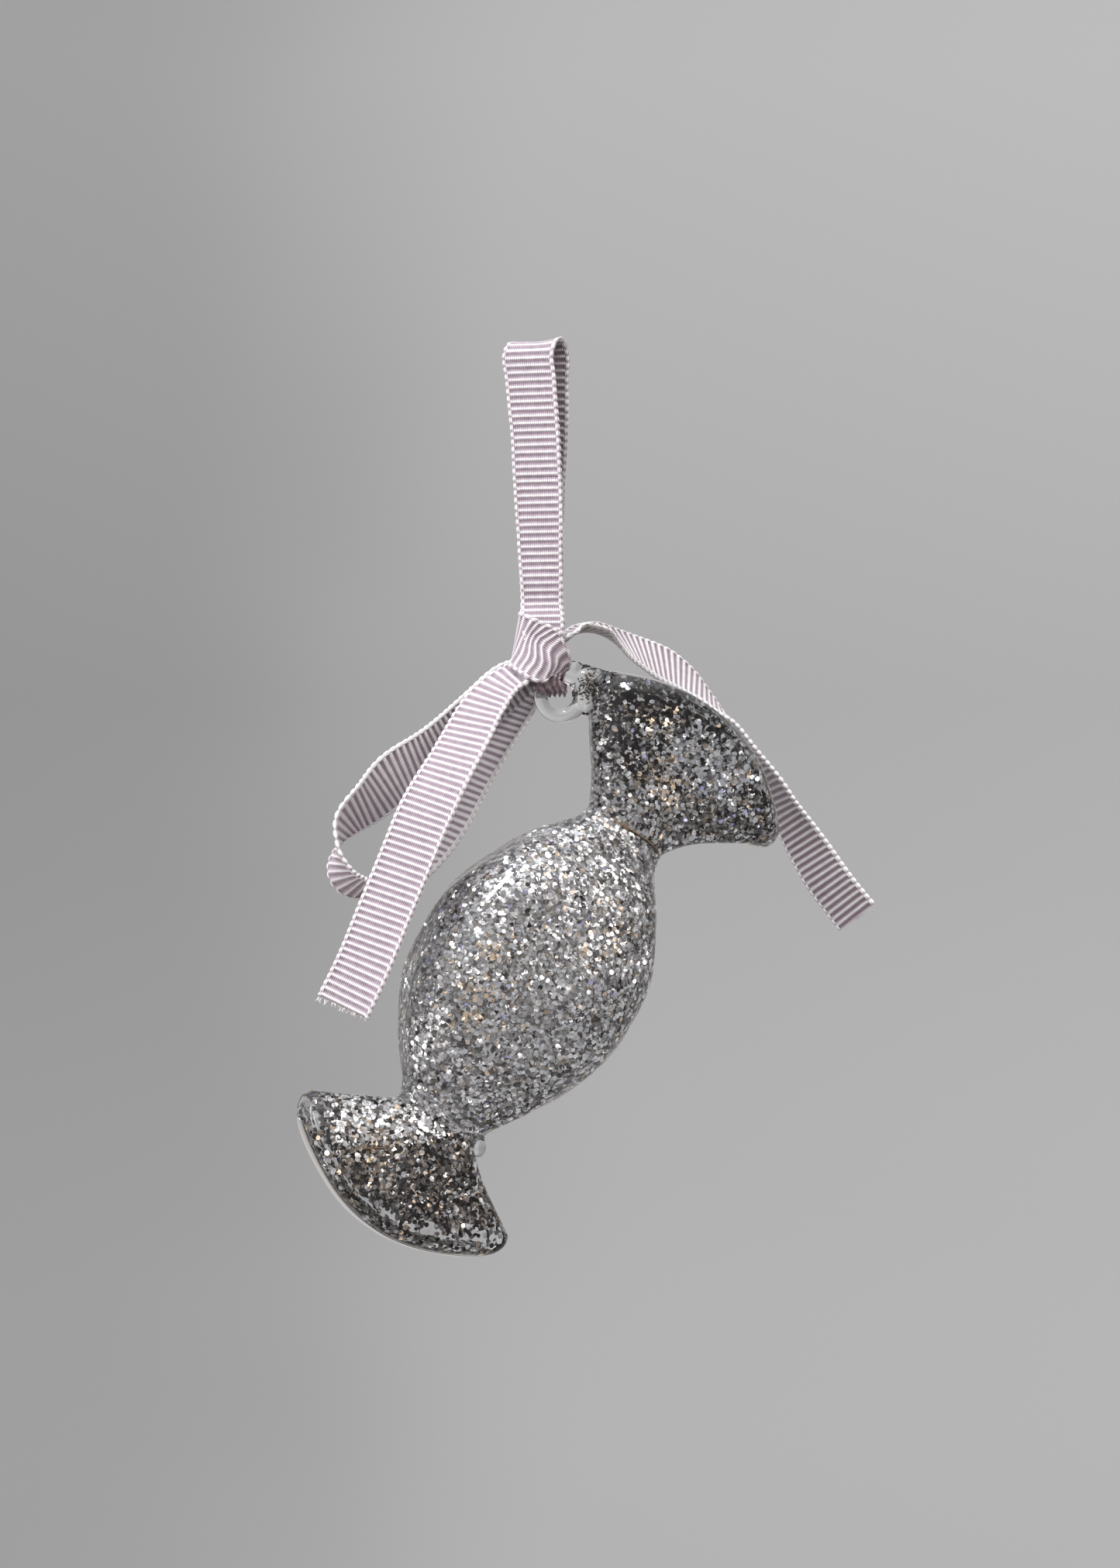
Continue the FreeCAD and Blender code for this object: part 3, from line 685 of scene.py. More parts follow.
def make_knot_and_bow():
    """The five runs that the knot holds, each with its node, how it is held, and what it rests on."""
    right_tail = Strip(RIGHT_TAIL)
    tail_painted_light = right_tail_painted_light(right_tail)
    for node, run, held, rests, looks in (
            ("ribbon_left_tail", Strip(LEFT_TAIL), "hung", "ribbon_knot_core", {}),
            ("ribbon_bow_loop", Strip(BOW_LOOP), "hung", "ribbon_knot_core", {"shade": LOOP_INSIDE_PAINTED_LIGHT}),
            ("ribbon_right_tail", right_tail, "hung", "ribbon_knot_core",
             {"shade": tail_painted_light, "back_painted_light": tail_painted_light}),
            ("ribbon_knot_wrap", Strip(KNOT_WRAP), "gathered", "ribbon_knot_core",
             {"relief": wrap_relief, "lag": wrap_lag}),
            ("ribbon_eye_strand", Strip(EYE_STRAND), "gathered", "eye_ring",
             {"relief": pleats, "material": PAINTED_SHADE_RIBBON})):
        name = "ribbon_eye_cloth" if node == "ribbon_eye_strand" else node + "_cloth"
        piece = run.mesh(name, **looks)
        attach(piece, "knot")
        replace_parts(piece, node)


KNOT_AROUND = 40
KNOT_FOLDS = 7
KNOT_SECTIONS = (  # height, middle in X, half width and half depth
    (-47.6, 0.0, 2.6, 0.9),
    (-49.0, -0.3, 3.4, 2.0),
    (-51.0, -0.8, 3.7, 2.6),
    (-53.5, -0.9, 3.6, 2.7),
    (-56.0, -0.6, 3.0, 2.2),
    (-58.0, 0.2, 2.2, 1.5),
)


def make_knot_core():
    """The folded inside of the knot, seen only in the gaps between its turns."""
    verts = []
    for z, middle, half_width, half_depth in KNOT_SECTIONS:
        for k in range(KNOT_AROUND):
            turn = 2 * math.pi * k / KNOT_AROUND
            fold = 1 + 0.05 * math.cos(KNOT_FOLDS * turn + z)
            verts.append((middle + half_width * fold * math.cos(turn), half_depth * fold * math.sin(turn), z))
    faces = [face[::-1] for face in tube_faces(len(KNOT_SECTIONS), KNOT_AROUND)]
    last = KNOT_AROUND * (len(KNOT_SECTIONS) - 1)
    faces.append(tuple(range(KNOT_AROUND)))
    faces.append(tuple(range(last, last + KNOT_AROUND))[::-1])
    core = mesh_piece("ribbon_knot_core_cloth", verts, faces, RIBBON_MATERIAL, "grosgrain_ribbon", "knot")
    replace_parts(core, "ribbon_knot_core")


FRAY_RADIUS = 0.07
FRAY_BEND = (0.0, 0.4, 0.75, 1.0)  # places along a loose thread


def make_frayed_ends():
    """Loose thread ends at the two cut ends of the ribbon."""
    rng = np.random.default_rng(21)
    lines = []
    for stations, count, longest in ((LEFT_TAIL, 70, 1.3), (RIGHT_TAIL, 26, 0.7)):
        end = np.array(stations[-1][0])
        ahead = unit(end - np.array(stations[-2][0]))
        across = unit(np.array(stations[-1][1]))
        out = np.cross(ahead, across)
        for _ in range(count):
            root = end + across * rng.uniform(-4.8, 4.8) + out * rng.uniform(-0.15, 0.15) - ahead * 0.2
            bend = across * rng.normal(0, 0.35) + out * rng.normal(0, 0.25)
            size = longest * rng.uniform(0.3, 1.0)
            lines.append([root + ahead * size * t + bend * size * t * t for t in FRAY_BEND])
    threads("ribbon_frayed_ends", lines, FRAY_RADIUS, FRAY_MATERIAL, "grosgrain_ribbon", "knot")


# ---------------------------------------------------------------- threads
THREAD_SIDES = 5
THREAD_SIDEWAYS = np.array([0.31, 0.87, 0.38])  # a direction that no thread runs along


def joined_parts(parts):
    """The points and faces of several meshes as one."""
    verts, faces = [], []
    for part_verts, part_faces in parts:
        shift = len(verts)
        verts += [tuple(v) for v in part_verts]
        faces += [tuple(i + shift for i in f) for f in part_faces]
    return verts, faces


def thread(points, radius):
    """A thin round thread through the points, tapered at its ends, as vertices and faces."""
    points = np.asarray(points, float)
    along = unit(np.gradient(points, axis=0))
    side = unit(np.cross(along, THREAD_SIDEWAYS))
    other = np.cross(along, side)
    turn = 2 * math.pi * np.arange(THREAD_SIDES) / THREAD_SIDES
    taper = radius * np.sqrt(np.clip(1 - np.linspace(-1, 1, len(points)) ** 6, 0.04, 1))
    ring = (points[:, None] + (side[:, None] * np.cos(turn)[None, :, None]
                               + other[:, None] * np.sin(turn)[None, :, None]) * taper[:, None, None])
    faces = tube_faces(len(points), THREAD_SIDES)
    last = (len(points) - 1) * THREAD_SIDES
    faces.append(tuple(range(THREAD_SIDES))[::-1])
    faces.append(tuple(range(last, last + THREAD_SIDES)))
    return ring.reshape(-1, 3), faces


def threads(name, lines, radius, material, slot, body):
    """Many thin threads in one piece."""
    verts, faces = joined_parts([thread(points, radius) for points in lines])
    return mesh_piece(name, verts, faces, material, slot, body)


# ---------------------------------------------------------------- glass sweet
LEAN = math.radians(33.4)
TILT = math.radians(8.0)
YAW = math.radians(11.5)
WALL = 1.2
BULB_CENTRE = np.array([-2.1, -0.8, -111.2])
BULB_HALF_LENGTH = 30.6
BULB_HALF_WIDTH = 19.95
BULB_HALF_DEPTH = 14.3
BULB_ARC_RADIUS = 36.0
BULB_BOW = -0.8
BULB_STEPS = 72
NECK_HALF_WIDTH = 7.8
NECK_HALF_DEPTH = 5.0
NECK_BLEND = 3.0
NECK_FLOOR = 7.3
FAN_HALF_DEPTH = 7.0
FAN_STEPS = 36
RIM_RADIUS = 3.0
RIM_STEPS = 8
NECK_EXPONENT = 2.2
BULB_EXPONENT = 2.9
RIM_EXPONENT = 3.0
UPPER_FAN = {  # each side runs from the neck as (out along the sweet, across it)
    "left": ((0.0, -NECK_HALF_WIDTH), (8.0, -12.6), (17.0, -20.0)),
    "right": ((0.0, NECK_HALF_WIDTH), (6.3, 10.6), (12.0, 23.0)),
    "bulge": 8.9,
    "end_wall": 1.8,
}
LOWER_FAN = {
    "left": ((0.0, -NECK_HALF_WIDTH), (2.8, -12.6), (7.8, -21.4)),
    "right": ((0.0, NECK_HALF_WIDTH), (4.0, 11.4), (9.6, 22.1)),
    "bulge": 9.9,
    "end_wall": 1.4,
}
HALF_AROUND = 48
CAP_RUNGS = 6  # faces from front to back across a fan's end
OUTER_CROWN = 0.5
INNER_CROWN = 0.3
SEAM_REACH = 3  # sections smoothed on each side of a neck
SEAM_ROUNDS = 3


def sweet_axes():
    """The sweet's own width, depth and length directions, as rows."""
    length = np.array([math.sin(LEAN) * math.cos(TILT), math.sin(TILT), math.cos(LEAN) * math.cos(TILT)])
    level_width = np.array([math.cos(LEAN), 0.0, -math.sin(LEAN)])
    level_depth = np.cross(length, level_width)
    width = level_width * math.cos(YAW) + level_depth * math.sin(YAW)
    depth = level_depth * math.cos(YAW) - level_width * math.sin(YAW)
    return np.stack([width, depth, length])


SWEET_AXES = sweet_axes()


def to_frame(points):
    """From the sweet's own width, depth and length to the CAD frame, in millimetres."""
    return np.asarray(points) @ SWEET_AXES + BULB_CENTRE


def even_angles():
    """Angles that space the points of a section evenly round its rear half."""
    fine = np.linspace(0, math.pi, 2001)
    x = np.sign(np.cos(fine)) * np.abs(np.cos(fine)) ** (2 / BULB_EXPONENT) * BULB_HALF_WIDTH
    y = np.sin(fine) ** (2 / BULB_EXPONENT) * BULB_HALF_DEPTH
    reach = np.concatenate([[0.0], np.cumsum(np.hypot(np.diff(x), np.diff(y)))])
    return np.interp(np.linspace(0, reach[-1], HALF_AROUND + 1), reach, fine)


ANGLES = even_angles()


def section(half_width, half_depth, exponent):
    """Rear half of a superellipse from +X to -X, then its front half back again, as (x, y) pairs."""
    cosine, sine = np.cos(ANGLES), np.clip(np.sin(ANGLES), 0, 1)
    sine[0] = sine[-1] = 0.0
    x = np.sign(cosine) * np.abs(cosine) ** (2 / exponent) * half_width
    y = sine ** (2 / exponent) * half_depth
    return np.concatenate([np.stack([x, y], 1), np.stack([x, -y], 1)[-2:0:-1]])


def bulb_half_width(along):
    """The bulb's outline: an arc that runs softly into the neck's width."""
    arc = BULB_HALF_WIDTH - BULB_ARC_RADIUS + math.sqrt(BULB_ARC_RADIUS ** 2 - along ** 2)
    return 0.5 * (arc + NECK_FLOOR + math.sqrt((arc - NECK_FLOOR) ** 2 + NECK_BLEND ** 2))


def bulb_rows(inset, steps=BULB_STEPS):
    """Sections of the bulb from its lower neck to its upper one."""
    rows = []
    neck = bulb_half_width(BULB_HALF_LENGTH)
    for step in range(steps + 1):
        share = 2 * step / steps - 1
        along = BULB_HALF_LENGTH * share
        fullness = (bulb_half_width(along) - neck) / (bulb_half_width(0) - neck)
        half_width = NECK_HALF_WIDTH + (bulb_half_width(0) - NECK_HALF_WIDTH) * fullness - inset
        half_depth = NECK_HALF_DEPTH + (BULB_HALF_DEPTH - NECK_HALF_DEPTH) * fullness - inset
        flat = section(half_width, half_depth, NECK_EXPONENT + (BULB_EXPONENT - NECK_EXPONENT) * fullness)
        bow = BULB_BOW * (1 - share ** 2)
        rows.append(np.stack([flat[:, 0] + bow, flat[:, 1], np.full(len(flat), along)], 1))
    return rows


def bezier(points, share):
    first, middle, last = (np.array(p) for p in points)
    rest = 1 - share
    return rest * rest * first + 2 * rest * share * middle + share * share * last


def fan_row(outline, share, inset, end_inset=0.0, rim_angle=0.0):
    """One section of a fan: a superellipse whose middle line is an arc that bulges outwards."""
    rim = RIM_RADIUS - end_inset
    left, right = bezier(outline["left"], share), bezier(outline["right"], share)
    middle, half = (left + right) / 2, (right - left) / 2
    reach = math.hypot(*half)
    across = half / reach
    outward = np.array([across[1], -across[0]])
    bulge = outline["bulge"] * share ** 1.6
    drawn_in = rim * (1 - math.cos(rim_angle))
    pushed_out = rim * math.sin(rim_angle)
    half_width = reach - inset - drawn_in
    half_depth = NECK_HALF_DEPTH + (FAN_HALF_DEPTH - NECK_HALF_DEPTH) * share - inset - drawn_in
    flat = section(half_width, half_depth, NECK_EXPONENT + (RIM_EXPONENT - NECK_EXPONENT) * share)
    side = flat[:, 0] / reach
    lift = bulge * (1 - side ** 2)
    slope = -2 * bulge * side / reach
    size = np.hypot(1, slope)
    place = middle + flat[:, :1] * across + lift[:, None] * outward
    place = place + pushed_out * (outward - slope[:, None] * across) / size[:, None]
    return np.stack([place[:, 1], flat[:, 1], place[:, 0]], 1)


def fan_rows(outline, direction, inset):
    """Sections of a fan from its neck to its rounded end. The inner skin's end is inset by the end wall."""
    end_inset = outline["end_wall"] if inset else 0.0
    rows = [fan_row(outline, step / FAN_STEPS, inset) for step in range(FAN_STEPS + 1)]
    for step in range(1, RIM_STEPS + 1):
        rows.append(fan_row(outline, 1.0, inset, end_inset, math.pi / 2 * step / RIM_STEPS))
    for row in rows:
        row[:, 2] = (BULB_HALF_LENGTH + row[:, 2]) * direction
    return rows


def whole_rows(inset):
    """Sections of the whole sweet from the lower fan's end to the upper fan's end."""
    lower = fan_rows(LOWER_FAN, -1, inset)[::-1]
    upper = fan_rows(UPPER_FAN, 1, inset)
    rows = np.array(lower[:-1] + bulb_rows(inset) + upper[1:])
    seams = (len(lower) - 1, len(lower) - 1 + BULB_STEPS)
    for _ in range(SEAM_ROUNDS):
        smooth = rows.copy()
        for seam in seams:
            for i in range(seam - SEAM_REACH, seam + SEAM_REACH + 1):
                smooth[i] = (rows[i - 1] + 2 * rows[i] + rows[i + 1]) / 4
        rows = smooth
    return rows


def closed_skin(rows, crown=0.0):
    """A closed tube, whose two ends are ruled from front to back and bulge by the crown."""
    rows = np.array(rows)
    count, around = rows.shape[:2]
    verts = rows.reshape(-1, 3).tolist()
    faces = tube_faces(count, around)
    for first, outward in ((0, -1), ((count - 1) * around, 1)):
        ladder = []
        for k in range(HALF_AROUND + 1):
            rear = first + k
            front = first + (around - k) % around
            row = [rear]
            if front != rear:
                a, b = np.array(verts[rear]), np.array(verts[front])
                for step in range(1, CAP_RUNGS):
                    share = step / CAP_RUNGS
                    point = a * (1 - share) + b * share
                    point[2] += outward * crown * 4 * share * (1 - share)
                    row.append(len(verts))
                    verts.append(point.tolist())
                row.append(front)
            ladder.append(row)
        for one, two in zip(ladder, ladder[1:]):
            for step in range(CAP_RUNGS):
                face = [one[min(step, len(one) - 1)], one[min(step + 1, len(one) - 1)],
                        two[min(step + 1, len(two) - 1)], two[min(step, len(two) - 1)]]
                face = list(dict.fromkeys(face))
                if len(face) > 2:
                    faces.append(tuple(face[::-1] if outward < 0 else face))
    return np.array(verts), faces


def waves(points):
    """Slow, slight unevenness of hand-blown glass, along each point's own direction from the middle line."""
    x, y, z = points.T
    size = (0.22 * np.sin(0.21 * x + 0.5 * y + 0.17 * z) + 0.16 * np.sin(0.37 * z - 0.23 * x + 1.7)
            + 0.10 * np.sin(0.55 * x + 0.31 * z + 0.8 * y + 0.4))
    out = points * np.array([1.0, 1.0, 0.0])
    length = np.maximum(np.linalg.norm(out, axis=1, keepdims=True), 4.0)
    return points + out / length * size[:, None]


def make_glass():
    """One blown body: the outer skin, and the inner skin turned inside out."""
    outer, outer_faces = closed_skin(whole_rows(0.0), OUTER_CROWN)
    inner, inner_faces = closed_skin(whole_rows(WALL), INNER_CROWN)
    verts = np.concatenate([waves(outer), waves(inner)])
    shift = len(outer)
    faces = [tuple(f) for f in outer_faces] + [tuple(i + shift for i in f[::-1]) for f in inner_faces]
    body = mesh_piece("glass_sweet_body", to_frame(verts), faces, GLASS_MATERIAL, "clear_glass", "sweet")
    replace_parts(body, "bulb_glass", "upper_fan_glass", "lower_fan_glass")


# ---------------------------------------------------------------- glitter
FLAKE_TONES = np.array([
    (0.86, 0.86, 0.88), (0.62, 0.62, 0.64), (0.97, 0.97, 0.99), (0.38, 0.37, 0.37), (0.16, 0.15, 0.15),
    (0.030, 0.027, 0.027), (0.90, 0.72, 0.54), (0.40, 0.33, 0.26), (0.62, 0.60, 0.98), (0.65, 0.69, 0.74)])
SILVER, GREY, WHITE_TONE, _, DARK, BLACK, GOLD, BROWN, _, BLUE = range(len(FLAKE_TONES))
BULB_TONES = (2.4, 3.6, 0.4, 3.2, 0.9, 0.15, 0.16, 0.40, 0.10, 0.6)  # how much there is of each tone
# The fans' larger shares of dark, black and brown flakes are painted shade.
UPPER_TONES = (0.5, 1.3, 0.2, 2.4, 2.6, 2.0, 0.20, 1.1, 0.12, 0.3)
LOWER_TONES = (0.2, 0.6, 0.1, 2.0, 3.6, 4.2, 0.14, 1.8, 0.05, 0.1)
FLAKE_SIZE = (0.80, 1.02)
FLAKE_DEPTH = (0.10, 0.36)  # how far a flake lies out from the wall's inner side
FLAKE_SPREAD = 0.22  # how unevenly the flakes lie
FLAKE_CROWN = 0.012  # half a flake's thickness at its middle
LOOSE_SHARE = 0.25  # of the flakes lie far more unevenly
BULB_FLAKES, UPPER_FLAKES, LOWER_FLAKES = 21000, 11500, 10500  # before the parts left bare are taken away
BULB_LIMIT = 30.5  # no flake of the bulb lies further than this along the sweet from its middle
CORNER_X = 14  # a fan's corners start this far from its middle
END_SPAN = 22.0
LINING_STEPS = 60
LINING_GAP = 0.03


def triangles(verts, faces):
    return verts[np.array([(f[0], f[k], f[k + 1]) for f in faces for k in range(1, len(f) - 1)])]


def scatter(tri, count, rng):
    """Random places on a skin, by area, with the skin's normal there. Points are in the sweet's own frame."""
    edge = np.cross(tri[:, 1] - tri[:, 0], tri[:, 2] - tri[:, 0])
    area = np.linalg.norm(edge, axis=1)
    keep = area > 1e-9
    tri, edge, area = tri[keep], edge[keep], area[keep]
    pick = rng.choice(len(tri), size=count, p=area / area.sum())
    a, b = rng.random(count), rng.random(count)
    over = a + b > 1
    a[over], b[over] = 1 - a[over], 1 - b[over]
    first, second, third = tri[pick, 0], tri[pick, 1], tri[pick, 2]
    place = first + a[:, None] * (second - first) + b[:, None] * (third - first)
    return place, edge[pick] / area[pick][:, None]


def flake_mesh(name, corners, colour):
    """One piece from many flakes, each a closed plate of six rim corners and two crowns."""
    count = len(corners)
    around = np.arange(6)
    onward = (around + 1) % 6
    plate = np.concatenate([np.stack([around, onward, np.full(6, 6)], 1),
                            np.stack([onward, around, np.full(6, 7)], 1)])
    index = (np.arange(count)[:, None, None] * 8 + plate[None]).reshape(-1)
    mesh = bpy.data.meshes.new(name)
    mesh.vertices.add(count * 8)
    mesh.vertices.foreach_set("co", (to_frame(corners.reshape(-1, 3)) * MM).ravel())
    mesh.loops.add(count * 36)
    mesh.loops.foreach_set("vertex_index", index)
    mesh.polygons.add(count * 12)
    mesh.polygons.foreach_set("loop_start", np.arange(count * 12) * 3)
    mesh.polygons.foreach_set("use_smooth", np.zeros(count * 12, bool))
    mesh.update(calc_edges=True)
    layer = mesh.attributes.new("flake", "FLOAT_COLOR", "POINT")
    layer.data.foreach_set("color", np.repeat(colour, 8, 0).astype(np.float32).ravel())
    mesh.materials.append(FLAKE_MATERIAL)
    obj = link(bpy.data.objects.new(name, mesh))
    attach(obj, "sweet")
    return obj


def flakes(name, node, skin, count, seed, keep, tones, split=False):
    """Hexagonal film flakes, bedded in the inner side of the wall. A split piece has a front and a back."""
    rng = np.random.default_rng(seed)
    place, normal = scatter(skin, count, rng)
    stay = rng.random(count) < keep(place, normal)
    place, normal = place[stay], normal[stay]
    n = len(place)
    weights = tones(place, normal)
    place = place + normal * rng.uniform(*FLAKE_DEPTH, n)[:, None]
    loose = np.where(rng.random(n) < LOOSE_SHARE, 2.2, 0.7)[:, None]
    facing = unit(normal + rng.normal(0, FLAKE_SPREAD, (n, 3)) * loose)
    side = unit(np.cross(facing, rng.normal(0, 1, (n, 3))))
    other = np.cross(facing, side)
    radius = rng.uniform(*FLAKE_SIZE, n)[:, None, None] / 2
    turn = np.arange(6)[None, :, None] * math.pi / 3
    rim = place[:, None] + (side[:, None] * np.cos(turn) + other[:, None] * np.sin(turn)) * radius
    crowns = np.stack([place + facing * FLAKE_CROWN, place - facing * FLAKE_CROWN], 1)
    corners = np.concatenate([rim, crowns], 1)
    weights = weights / weights.sum(1, keepdims=True)
    pick = (rng.random(n)[:, None] > np.cumsum(weights, 1)).sum(1).clip(0, len(FLAKE_TONES) - 1)
    colour = FLAKE_TONES[pick] * rng.uniform(0.85, 1.12, n)[:, None]
    colour = np.concatenate([colour.clip(0, 1), np.ones((n, 1))], 1)
    if not split:
        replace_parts(flake_mesh(name, corners, colour), node)
        return
    front = place[:, 1] < 0
    shown = flake_mesh(name + "_front", corners[front], colour[front])
    flake_mesh(name + "_back", corners[~front], colour[~front])
    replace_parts(shown, node)


def toned(base, changes):
    """Share of each flake tone at each place. A change adds (tone, amount) where its mask is high."""
    def tones(place, normal):
        weights = np.tile(np.array(base, float), (len(place), 1))
        for mask, tone, amount in changes:
            weights[:, tone] += amount * mask(place, normal)
        return weights
    return tones


def blob(x, z, reach):
    """High round a place on the sweet, on both faces."""
    def mask(place, normal):
        return np.exp(-np.sum((place[:, [0, 2]] - np.array([x, z], float)) ** 2, 1) / reach ** 2)
    return mask


def side_wall(place, normal):
    """High where a fan's skin turns edgeways, to the left or the right."""
    return np.clip((np.abs(normal[:, 0]) - 0.35) / 0.35, 0.0, 1.0)


def fan_end(outline, place):
    """How far the end of a fan is from its neck, at each place across it."""
    corners = 0.5 * (outline["left"][2][0] + outline["right"][2][0])
    return corners + outline["bulge"] * (1 - (place[:, 0] / END_SPAN) ** 2)


def near_end(outline, width, right):
    """High along the end of a fan, as far as a place to its right."""
    def mask(place, normal):
        end = BULB_HALF_LENGTH + fan_end(outline, place)
        return np.exp(-((end - np.abs(place[:, 2])) / width) ** 2) * (place[:, 0] < right)
    return mask


def off_the_caps(place, normal):
    return (np.abs(place[:, 2]) < BULB_LIMIT).astype(float)


def to_the_rim(outline, margin, corner, rest, sides, ends):
    """Flakes cover a fan up to a margin from its end. Shares of them stick beyond that, at sides and ends."""
    def keep(place, normal):
        far = np.abs(place[:, 2]) - BULB_HALF_LENGTH
        ragged = 0.7 * np.sin(0.9 * place[:, 0] + place[:, 1])
        edge = margin + corner * (np.abs(place[:, 0]) > CORNER_X) + ragged
        inside = 1.0 - (1.0 - sides) * side_wall(place, normal) * (far > 2.5)
        beyond = np.where(np.abs(normal[:, 2]) > 0.6, ends, rest)
        return np.where(far < 0.1, 0.0, np.where(far > fan_end(outline, place) - edge, beyond, inside))
    return keep


# On the bulb, the white and silver towards its top are painted highlight.
BULB_PATCHES = (
    (blob(-10.6, -1, 2.4), GOLD, 5.0), (blob(-9, -8, 2.4), GOLD, 5.0), (blob(-7, -13.5, 2.6), GOLD, 4.0),
    (blob(4.5, 11.5, 4.2), GOLD, 2.6), (blob(-2, 17, 8.0), WHITE_TONE, 1.2), (blob(0, 25, 5.0), SILVER, 3.0),
    (side_wall, SILVER, 5.0))
# On the upper fan, the black and dark patches are painted shade, and the black along its end is a painted
# reflection.
UPPER_PATCHES = (
    (blob(0, 51.5, 5.0), BLUE, 9.0), (blob(4.5, 48, 5.0), GREY, 14.0), (blob(9, 48, 4.0), BLUE, 8.0),
    (blob(-7.5, 49, 2.2), GOLD, 6.0), (blob(-1.5, 43, 2.4), GOLD, 6.0), (blob(2, 39, 2.4), GOLD, 4.0),
    (blob(-10, 43, 5.0), BLACK, 9.0), (blob(-13, 50, 5.5), BLACK, 9.0), (blob(9.5, 40.5, 3.5), DARK, 8.0),
    (blob(19, 49, 3.0), BLACK, 9.0), (near_end(UPPER_FAN, 2.4, 5.0), BLACK, 22.0),
    (side_wall, SILVER, 12.0), (side_wall, GREY, 12.0), (blob(-1, 32, 6.0), GREY, 9.0))
# On the lower fan, the white along its upper side is painted highlight, and the brown, dark and black lower
# down are painted shade.
LOWER_PATCHES = (
    (blob(-7, -34.5, 4.5), WHITE_TONE, 24.0), (blob(-13, -38.5, 4.5), WHITE_TONE, 18.0),
    (blob(-3.5, -30, 3.5), WHITE_TONE, 30.0), (blob(-8, -40, 3.0), GOLD, 4.0),
    (blob(-8, -41, 4.0), BROWN, 7.0), (blob(0, -42, 6.0), DARK, 5.0), (blob(7, -45, 5.0), BLACK, 4.0),
    (side_wall, SILVER, 9.0), (blob(16, -45, 4.0), GREY, 5.0))


def make_glitter():
    bulb, bulb_faces = closed_skin(bulb_rows(WALL, LINING_STEPS))
    upper, upper_faces = closed_skin(fan_rows(UPPER_FAN, 1, WALL))
    lower, lower_faces = closed_skin(fan_rows(LOWER_FAN, -1, WALL)[::-1])
    bulb, upper, lower = waves(bulb), waves(upper), waves(lower)
    flakes("glitter_bulb_flakes", "bulb_glitter", triangles(bulb, bulb_faces), BULB_FLAKES, 11,
           off_the_caps, toned(BULB_TONES, BULB_PATCHES), split=True)
    flakes("glitter_upper_fan_flakes", "upper_fan_glitter", triangles(upper, upper_faces), UPPER_FLAKES, 12,
           to_the_rim(UPPER_FAN, 0.6, 0.0, 0.35, 0.75, 0.9), toned(UPPER_TONES, UPPER_PATCHES))
    flakes("glitter_lower_fan_flakes", "lower_fan_glitter", triangles(lower, lower_faces), LOWER_FLAKES, 13,
           to_the_rim(LOWER_FAN, 1.0, 1.2, 0.14, 0.12, 0.5), toned(LOWER_TONES, LOWER_PATCHES))
    make_fibres(lower)
    skin, faces = closed_skin(bulb_rows(WALL - LINING_GAP, LINING_STEPS))
    mesh_piece("glitter_bulb_lining", to_frame(waves(skin)), faces, SILVER_LINING, "silver_glitter", "sweet")


FIBRES = (  # middle, direction and length of each, in the sweet's own width and length
    ((3.9, -37.1), (0.90, -0.42), 3.6),
    ((13.1, -44.1), (0.90, -0.42), 3.4),
    ((-7.5, -40.8), (0.83, 0.55), 4.2),
)
FIBRE_LIFT = 0.55  # how far they lie out from the wall's inner side
FIBRE_RADIUS = 0.11
CREASE_RADIUS = 0.16
CREASE_SHADOW_RADIUS = 0.13
GRIT_COUNT = 150
GRIT_RADIUS = 0.15
GRIT_CENTRE = np.array([7.8, 0.3, -60.2])
GRIT_REACH = np.array([2.6, 1.5, 3.4])


def make_fibres(skin):
    """A few gold fibres among the flakes of the lower fan."""
    front = skin[skin[:, 1] < 0]
    lines = []
    for middle, heading, length in FIBRES:
        ends = [np.array(middle) + np.array(heading) * length * way for way in (-0.5, 0.5)]
        depth = [front[np.argmin(np.sum((front[:, [0, 2]] - end) ** 2, 1)), 1] - FIBRE_LIFT for end in ends]
        share = np.linspace(0, 1, 7)
        x = ends[0][0] + (ends[1][0] - ends[0][0]) * share
        z = ends[0][1] + (ends[1][1] - ends[0][1]) * share + 0.5 * share * (1 - share)
        lines.append(to_frame(np.stack([x, depth[0] + (depth[1] - depth[0]) * share, z], 1)))
    threads("glitter_gold_fibres", lines, FIBRE_RADIUS, GOLD_FOIL, "silver_glitter", "sweet")


def make_neck_crease():
    """The fold where the bulb meets the upper fan: bright flakes caught in it, and a dark thread as its
    painted shadow.
    """
    lines = []
    for lift, reach in ((0.25, 0.7), (-0.10, 0.9)):
        turn = np.linspace(-0.95, 1.25, 40)
        x = (NECK_HALF_WIDTH - reach) * np.sin(turn)
        y = -(NECK_HALF_DEPTH - reach) * np.cos(turn)
        z = BULB_HALF_LENGTH + lift + 0.25 * np.sin(3 * turn)
        lines.append(to_frame(np.stack([x, y, z], 1)))
    threads("glitter_neck_crease", lines[:1], CREASE_RADIUS, GOLD_FOIL, "silver_glitter", "sweet")
    threads("glitter_neck_shadow", lines[1:], CREASE_SHADOW_RADIUS, DARK_SPECKS_AND_SHADOW, "silver_glitter", "sweet")


def make_lug_grit():
    """Glitter and dark specks caught in the glass of the lug."""
    rng = np.random.default_rng(31)
    lines = []
    for _ in range(GRIT_COUNT):
        spread = rng.normal(0, 1, 3)
        spread = spread / np.linalg.norm(spread) * rng.uniform(0.2, 0.85)
        place = GRIT_CENTRE + spread * GRIT_REACH
        size = rng.normal(0, 0.16, 3)
        lines.append([place - size, place, place + size * 0.8])
    threads("glitter_lug_grit", lines, GRIT_RADIUS, DARK_SPECKS_AND_SHADOW, "silver_glitter", "sweet")


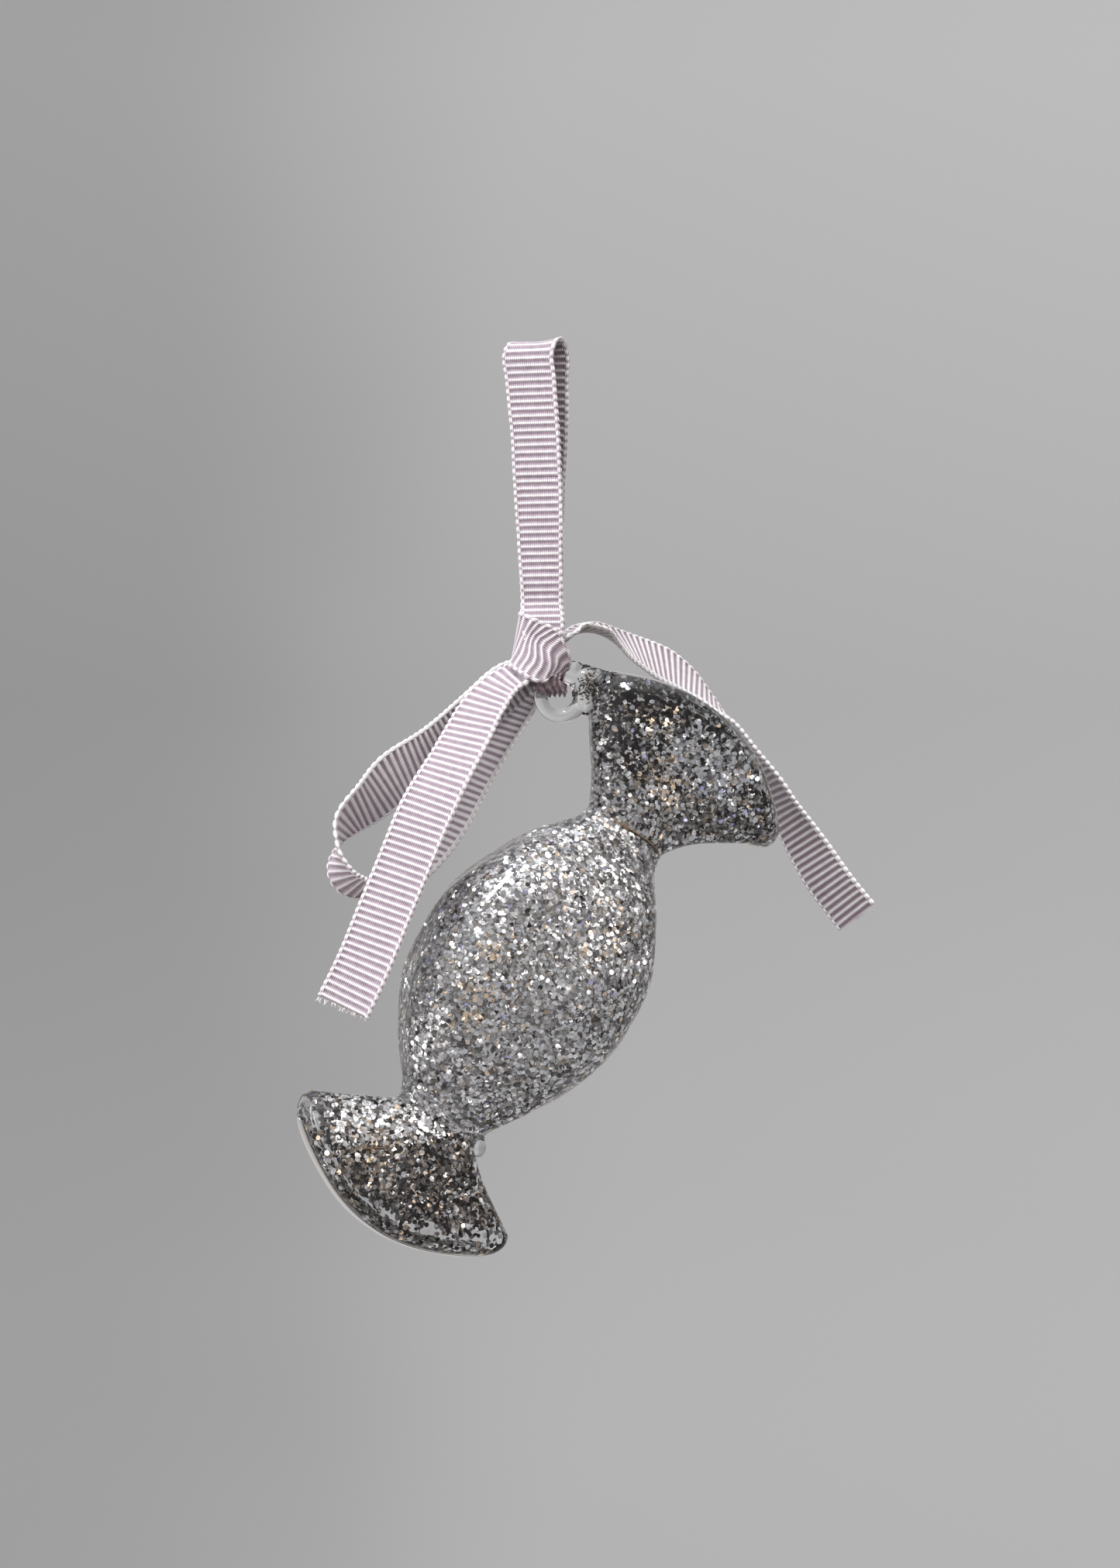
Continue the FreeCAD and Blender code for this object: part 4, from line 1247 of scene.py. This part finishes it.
# ---------------------------------------------------------------- eye, lug and bead
EYE_CENTRE = np.array([3.3, 0.0, -61.85])
EYE_RING_RADIUS = 3.6
EYE_ROD_RADIUS = 1.33
EYE_AROUND = 72
EYE_SECTION = 24
BLOB_RINGS = 20
BLOB_AROUND = 28
MELT_VOXEL = 0.2
LUG_BLOBS = (  # centre and radii
    ((7.6, 0.3, -60.9), (2.5, 2.0, 4.6)),
    ((5.6, 0.1, -57.3), (1.8, 1.4, 1.6)),
    ((8.2, 0.3, -58.4), (3.4, 1.9, 1.6)),
    ((10.6, 0.2, -59.3), (2.8, 1.8, 1.9)),
)
BEAD_PLACE = (NECK_HALF_WIDTH + 1.1, -0.6, -BULB_HALF_LENGTH + 0.3)  # in the sweet's own frame


def ellipsoid(centre, radii):
    verts = []
    for i in range(BLOB_RINGS + 1):
        lift = math.pi * i / BLOB_RINGS
        for k in range(BLOB_AROUND):
            turn = 2 * math.pi * k / BLOB_AROUND
            verts.append((centre[0] + radii[0] * math.sin(lift) * math.cos(turn),
                          centre[1] + radii[1] * math.sin(lift) * math.sin(turn),
                          centre[2] + radii[2] * math.cos(lift)))
    return verts, tube_faces(BLOB_RINGS + 1, BLOB_AROUND, flip=True)


def eye_ring():
    """The eye: a drawn glass rod bent round, thicker where its ends meet the lug."""
    verts = []
    for k in range(EYE_AROUND):
        turn = 2 * math.pi * k / EYE_AROUND
        rod = EYE_ROD_RADIUS * (1 + 0.10 * math.cos(turn - 0.2) + 0.04 * math.sin(2 * turn + 1))
        middle = EYE_RING_RADIUS * (1 + 0.025 * math.sin(2 * turn))
        for j in range(EYE_SECTION):
            spin = 2 * math.pi * j / EYE_SECTION
            reach = middle + rod * math.cos(spin)
            verts.append((EYE_CENTRE[0] + reach * math.cos(turn), EYE_CENTRE[1] + rod * math.sin(spin),
                          EYE_CENTRE[2] + reach * math.sin(turn)))
    return verts, tube_faces(EYE_AROUND, EYE_SECTION, joined=True)


def fused(name, parts, rounds, *nodes):
    """Several closed shapes melted into one skin, smoothed for some rounds."""
    obj = mesh_piece(name, *joined_parts(parts), GLASS_MATERIAL, "clear_glass")
    remesh = obj.modifiers.new("melt", "REMESH")
    remesh.mode = "VOXEL"
    remesh.voxel_size = MELT_VOXEL * MM
    remesh.use_smooth_shade = True
    smooth = obj.modifiers.new("smooth", "SMOOTH")
    smooth.factor = 0.5
    smooth.iterations = rounds
    depsgraph = bpy.context.evaluated_depsgraph_get()
    mesh = bpy.data.meshes.new_from_object(obj.evaluated_get(depsgraph))
    obj.modifiers.clear()
    obj.data = mesh
    mesh.name = name
    mesh.materials.clear()
    mesh.materials.append(GLASS_MATERIAL)
    mesh.polygons.foreach_set("use_smooth", [True] * len(mesh.polygons))
    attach(obj, "sweet")
    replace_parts(obj, *nodes)


def make_eye():
    lug = [ellipsoid(centre, radii) for centre, radii in LUG_BLOBS]
    fused("glass_eye", [eye_ring()] + lug, 8, "eye_ring", "eye_lug")
    place = to_frame(np.array([BEAD_PLACE]))[0]
    drop = ellipsoid(place + [0.2, -0.2, 1.5], (1.0, 1.1, 1.2))
    fused("glass_neck_bead", [ellipsoid(place, (1.5, 1.6, 1.8)), drop], 6, "lower_neck_bead")


# ---------------------------------------------------------------- build
make_camera()
make_stage()
make_light()
make_hanging_ribbon()
make_knot_and_bow()
make_knot_core()
make_glass()
make_glitter()
make_neck_crease()
make_lug_grit()
make_frayed_ends()
make_eye()
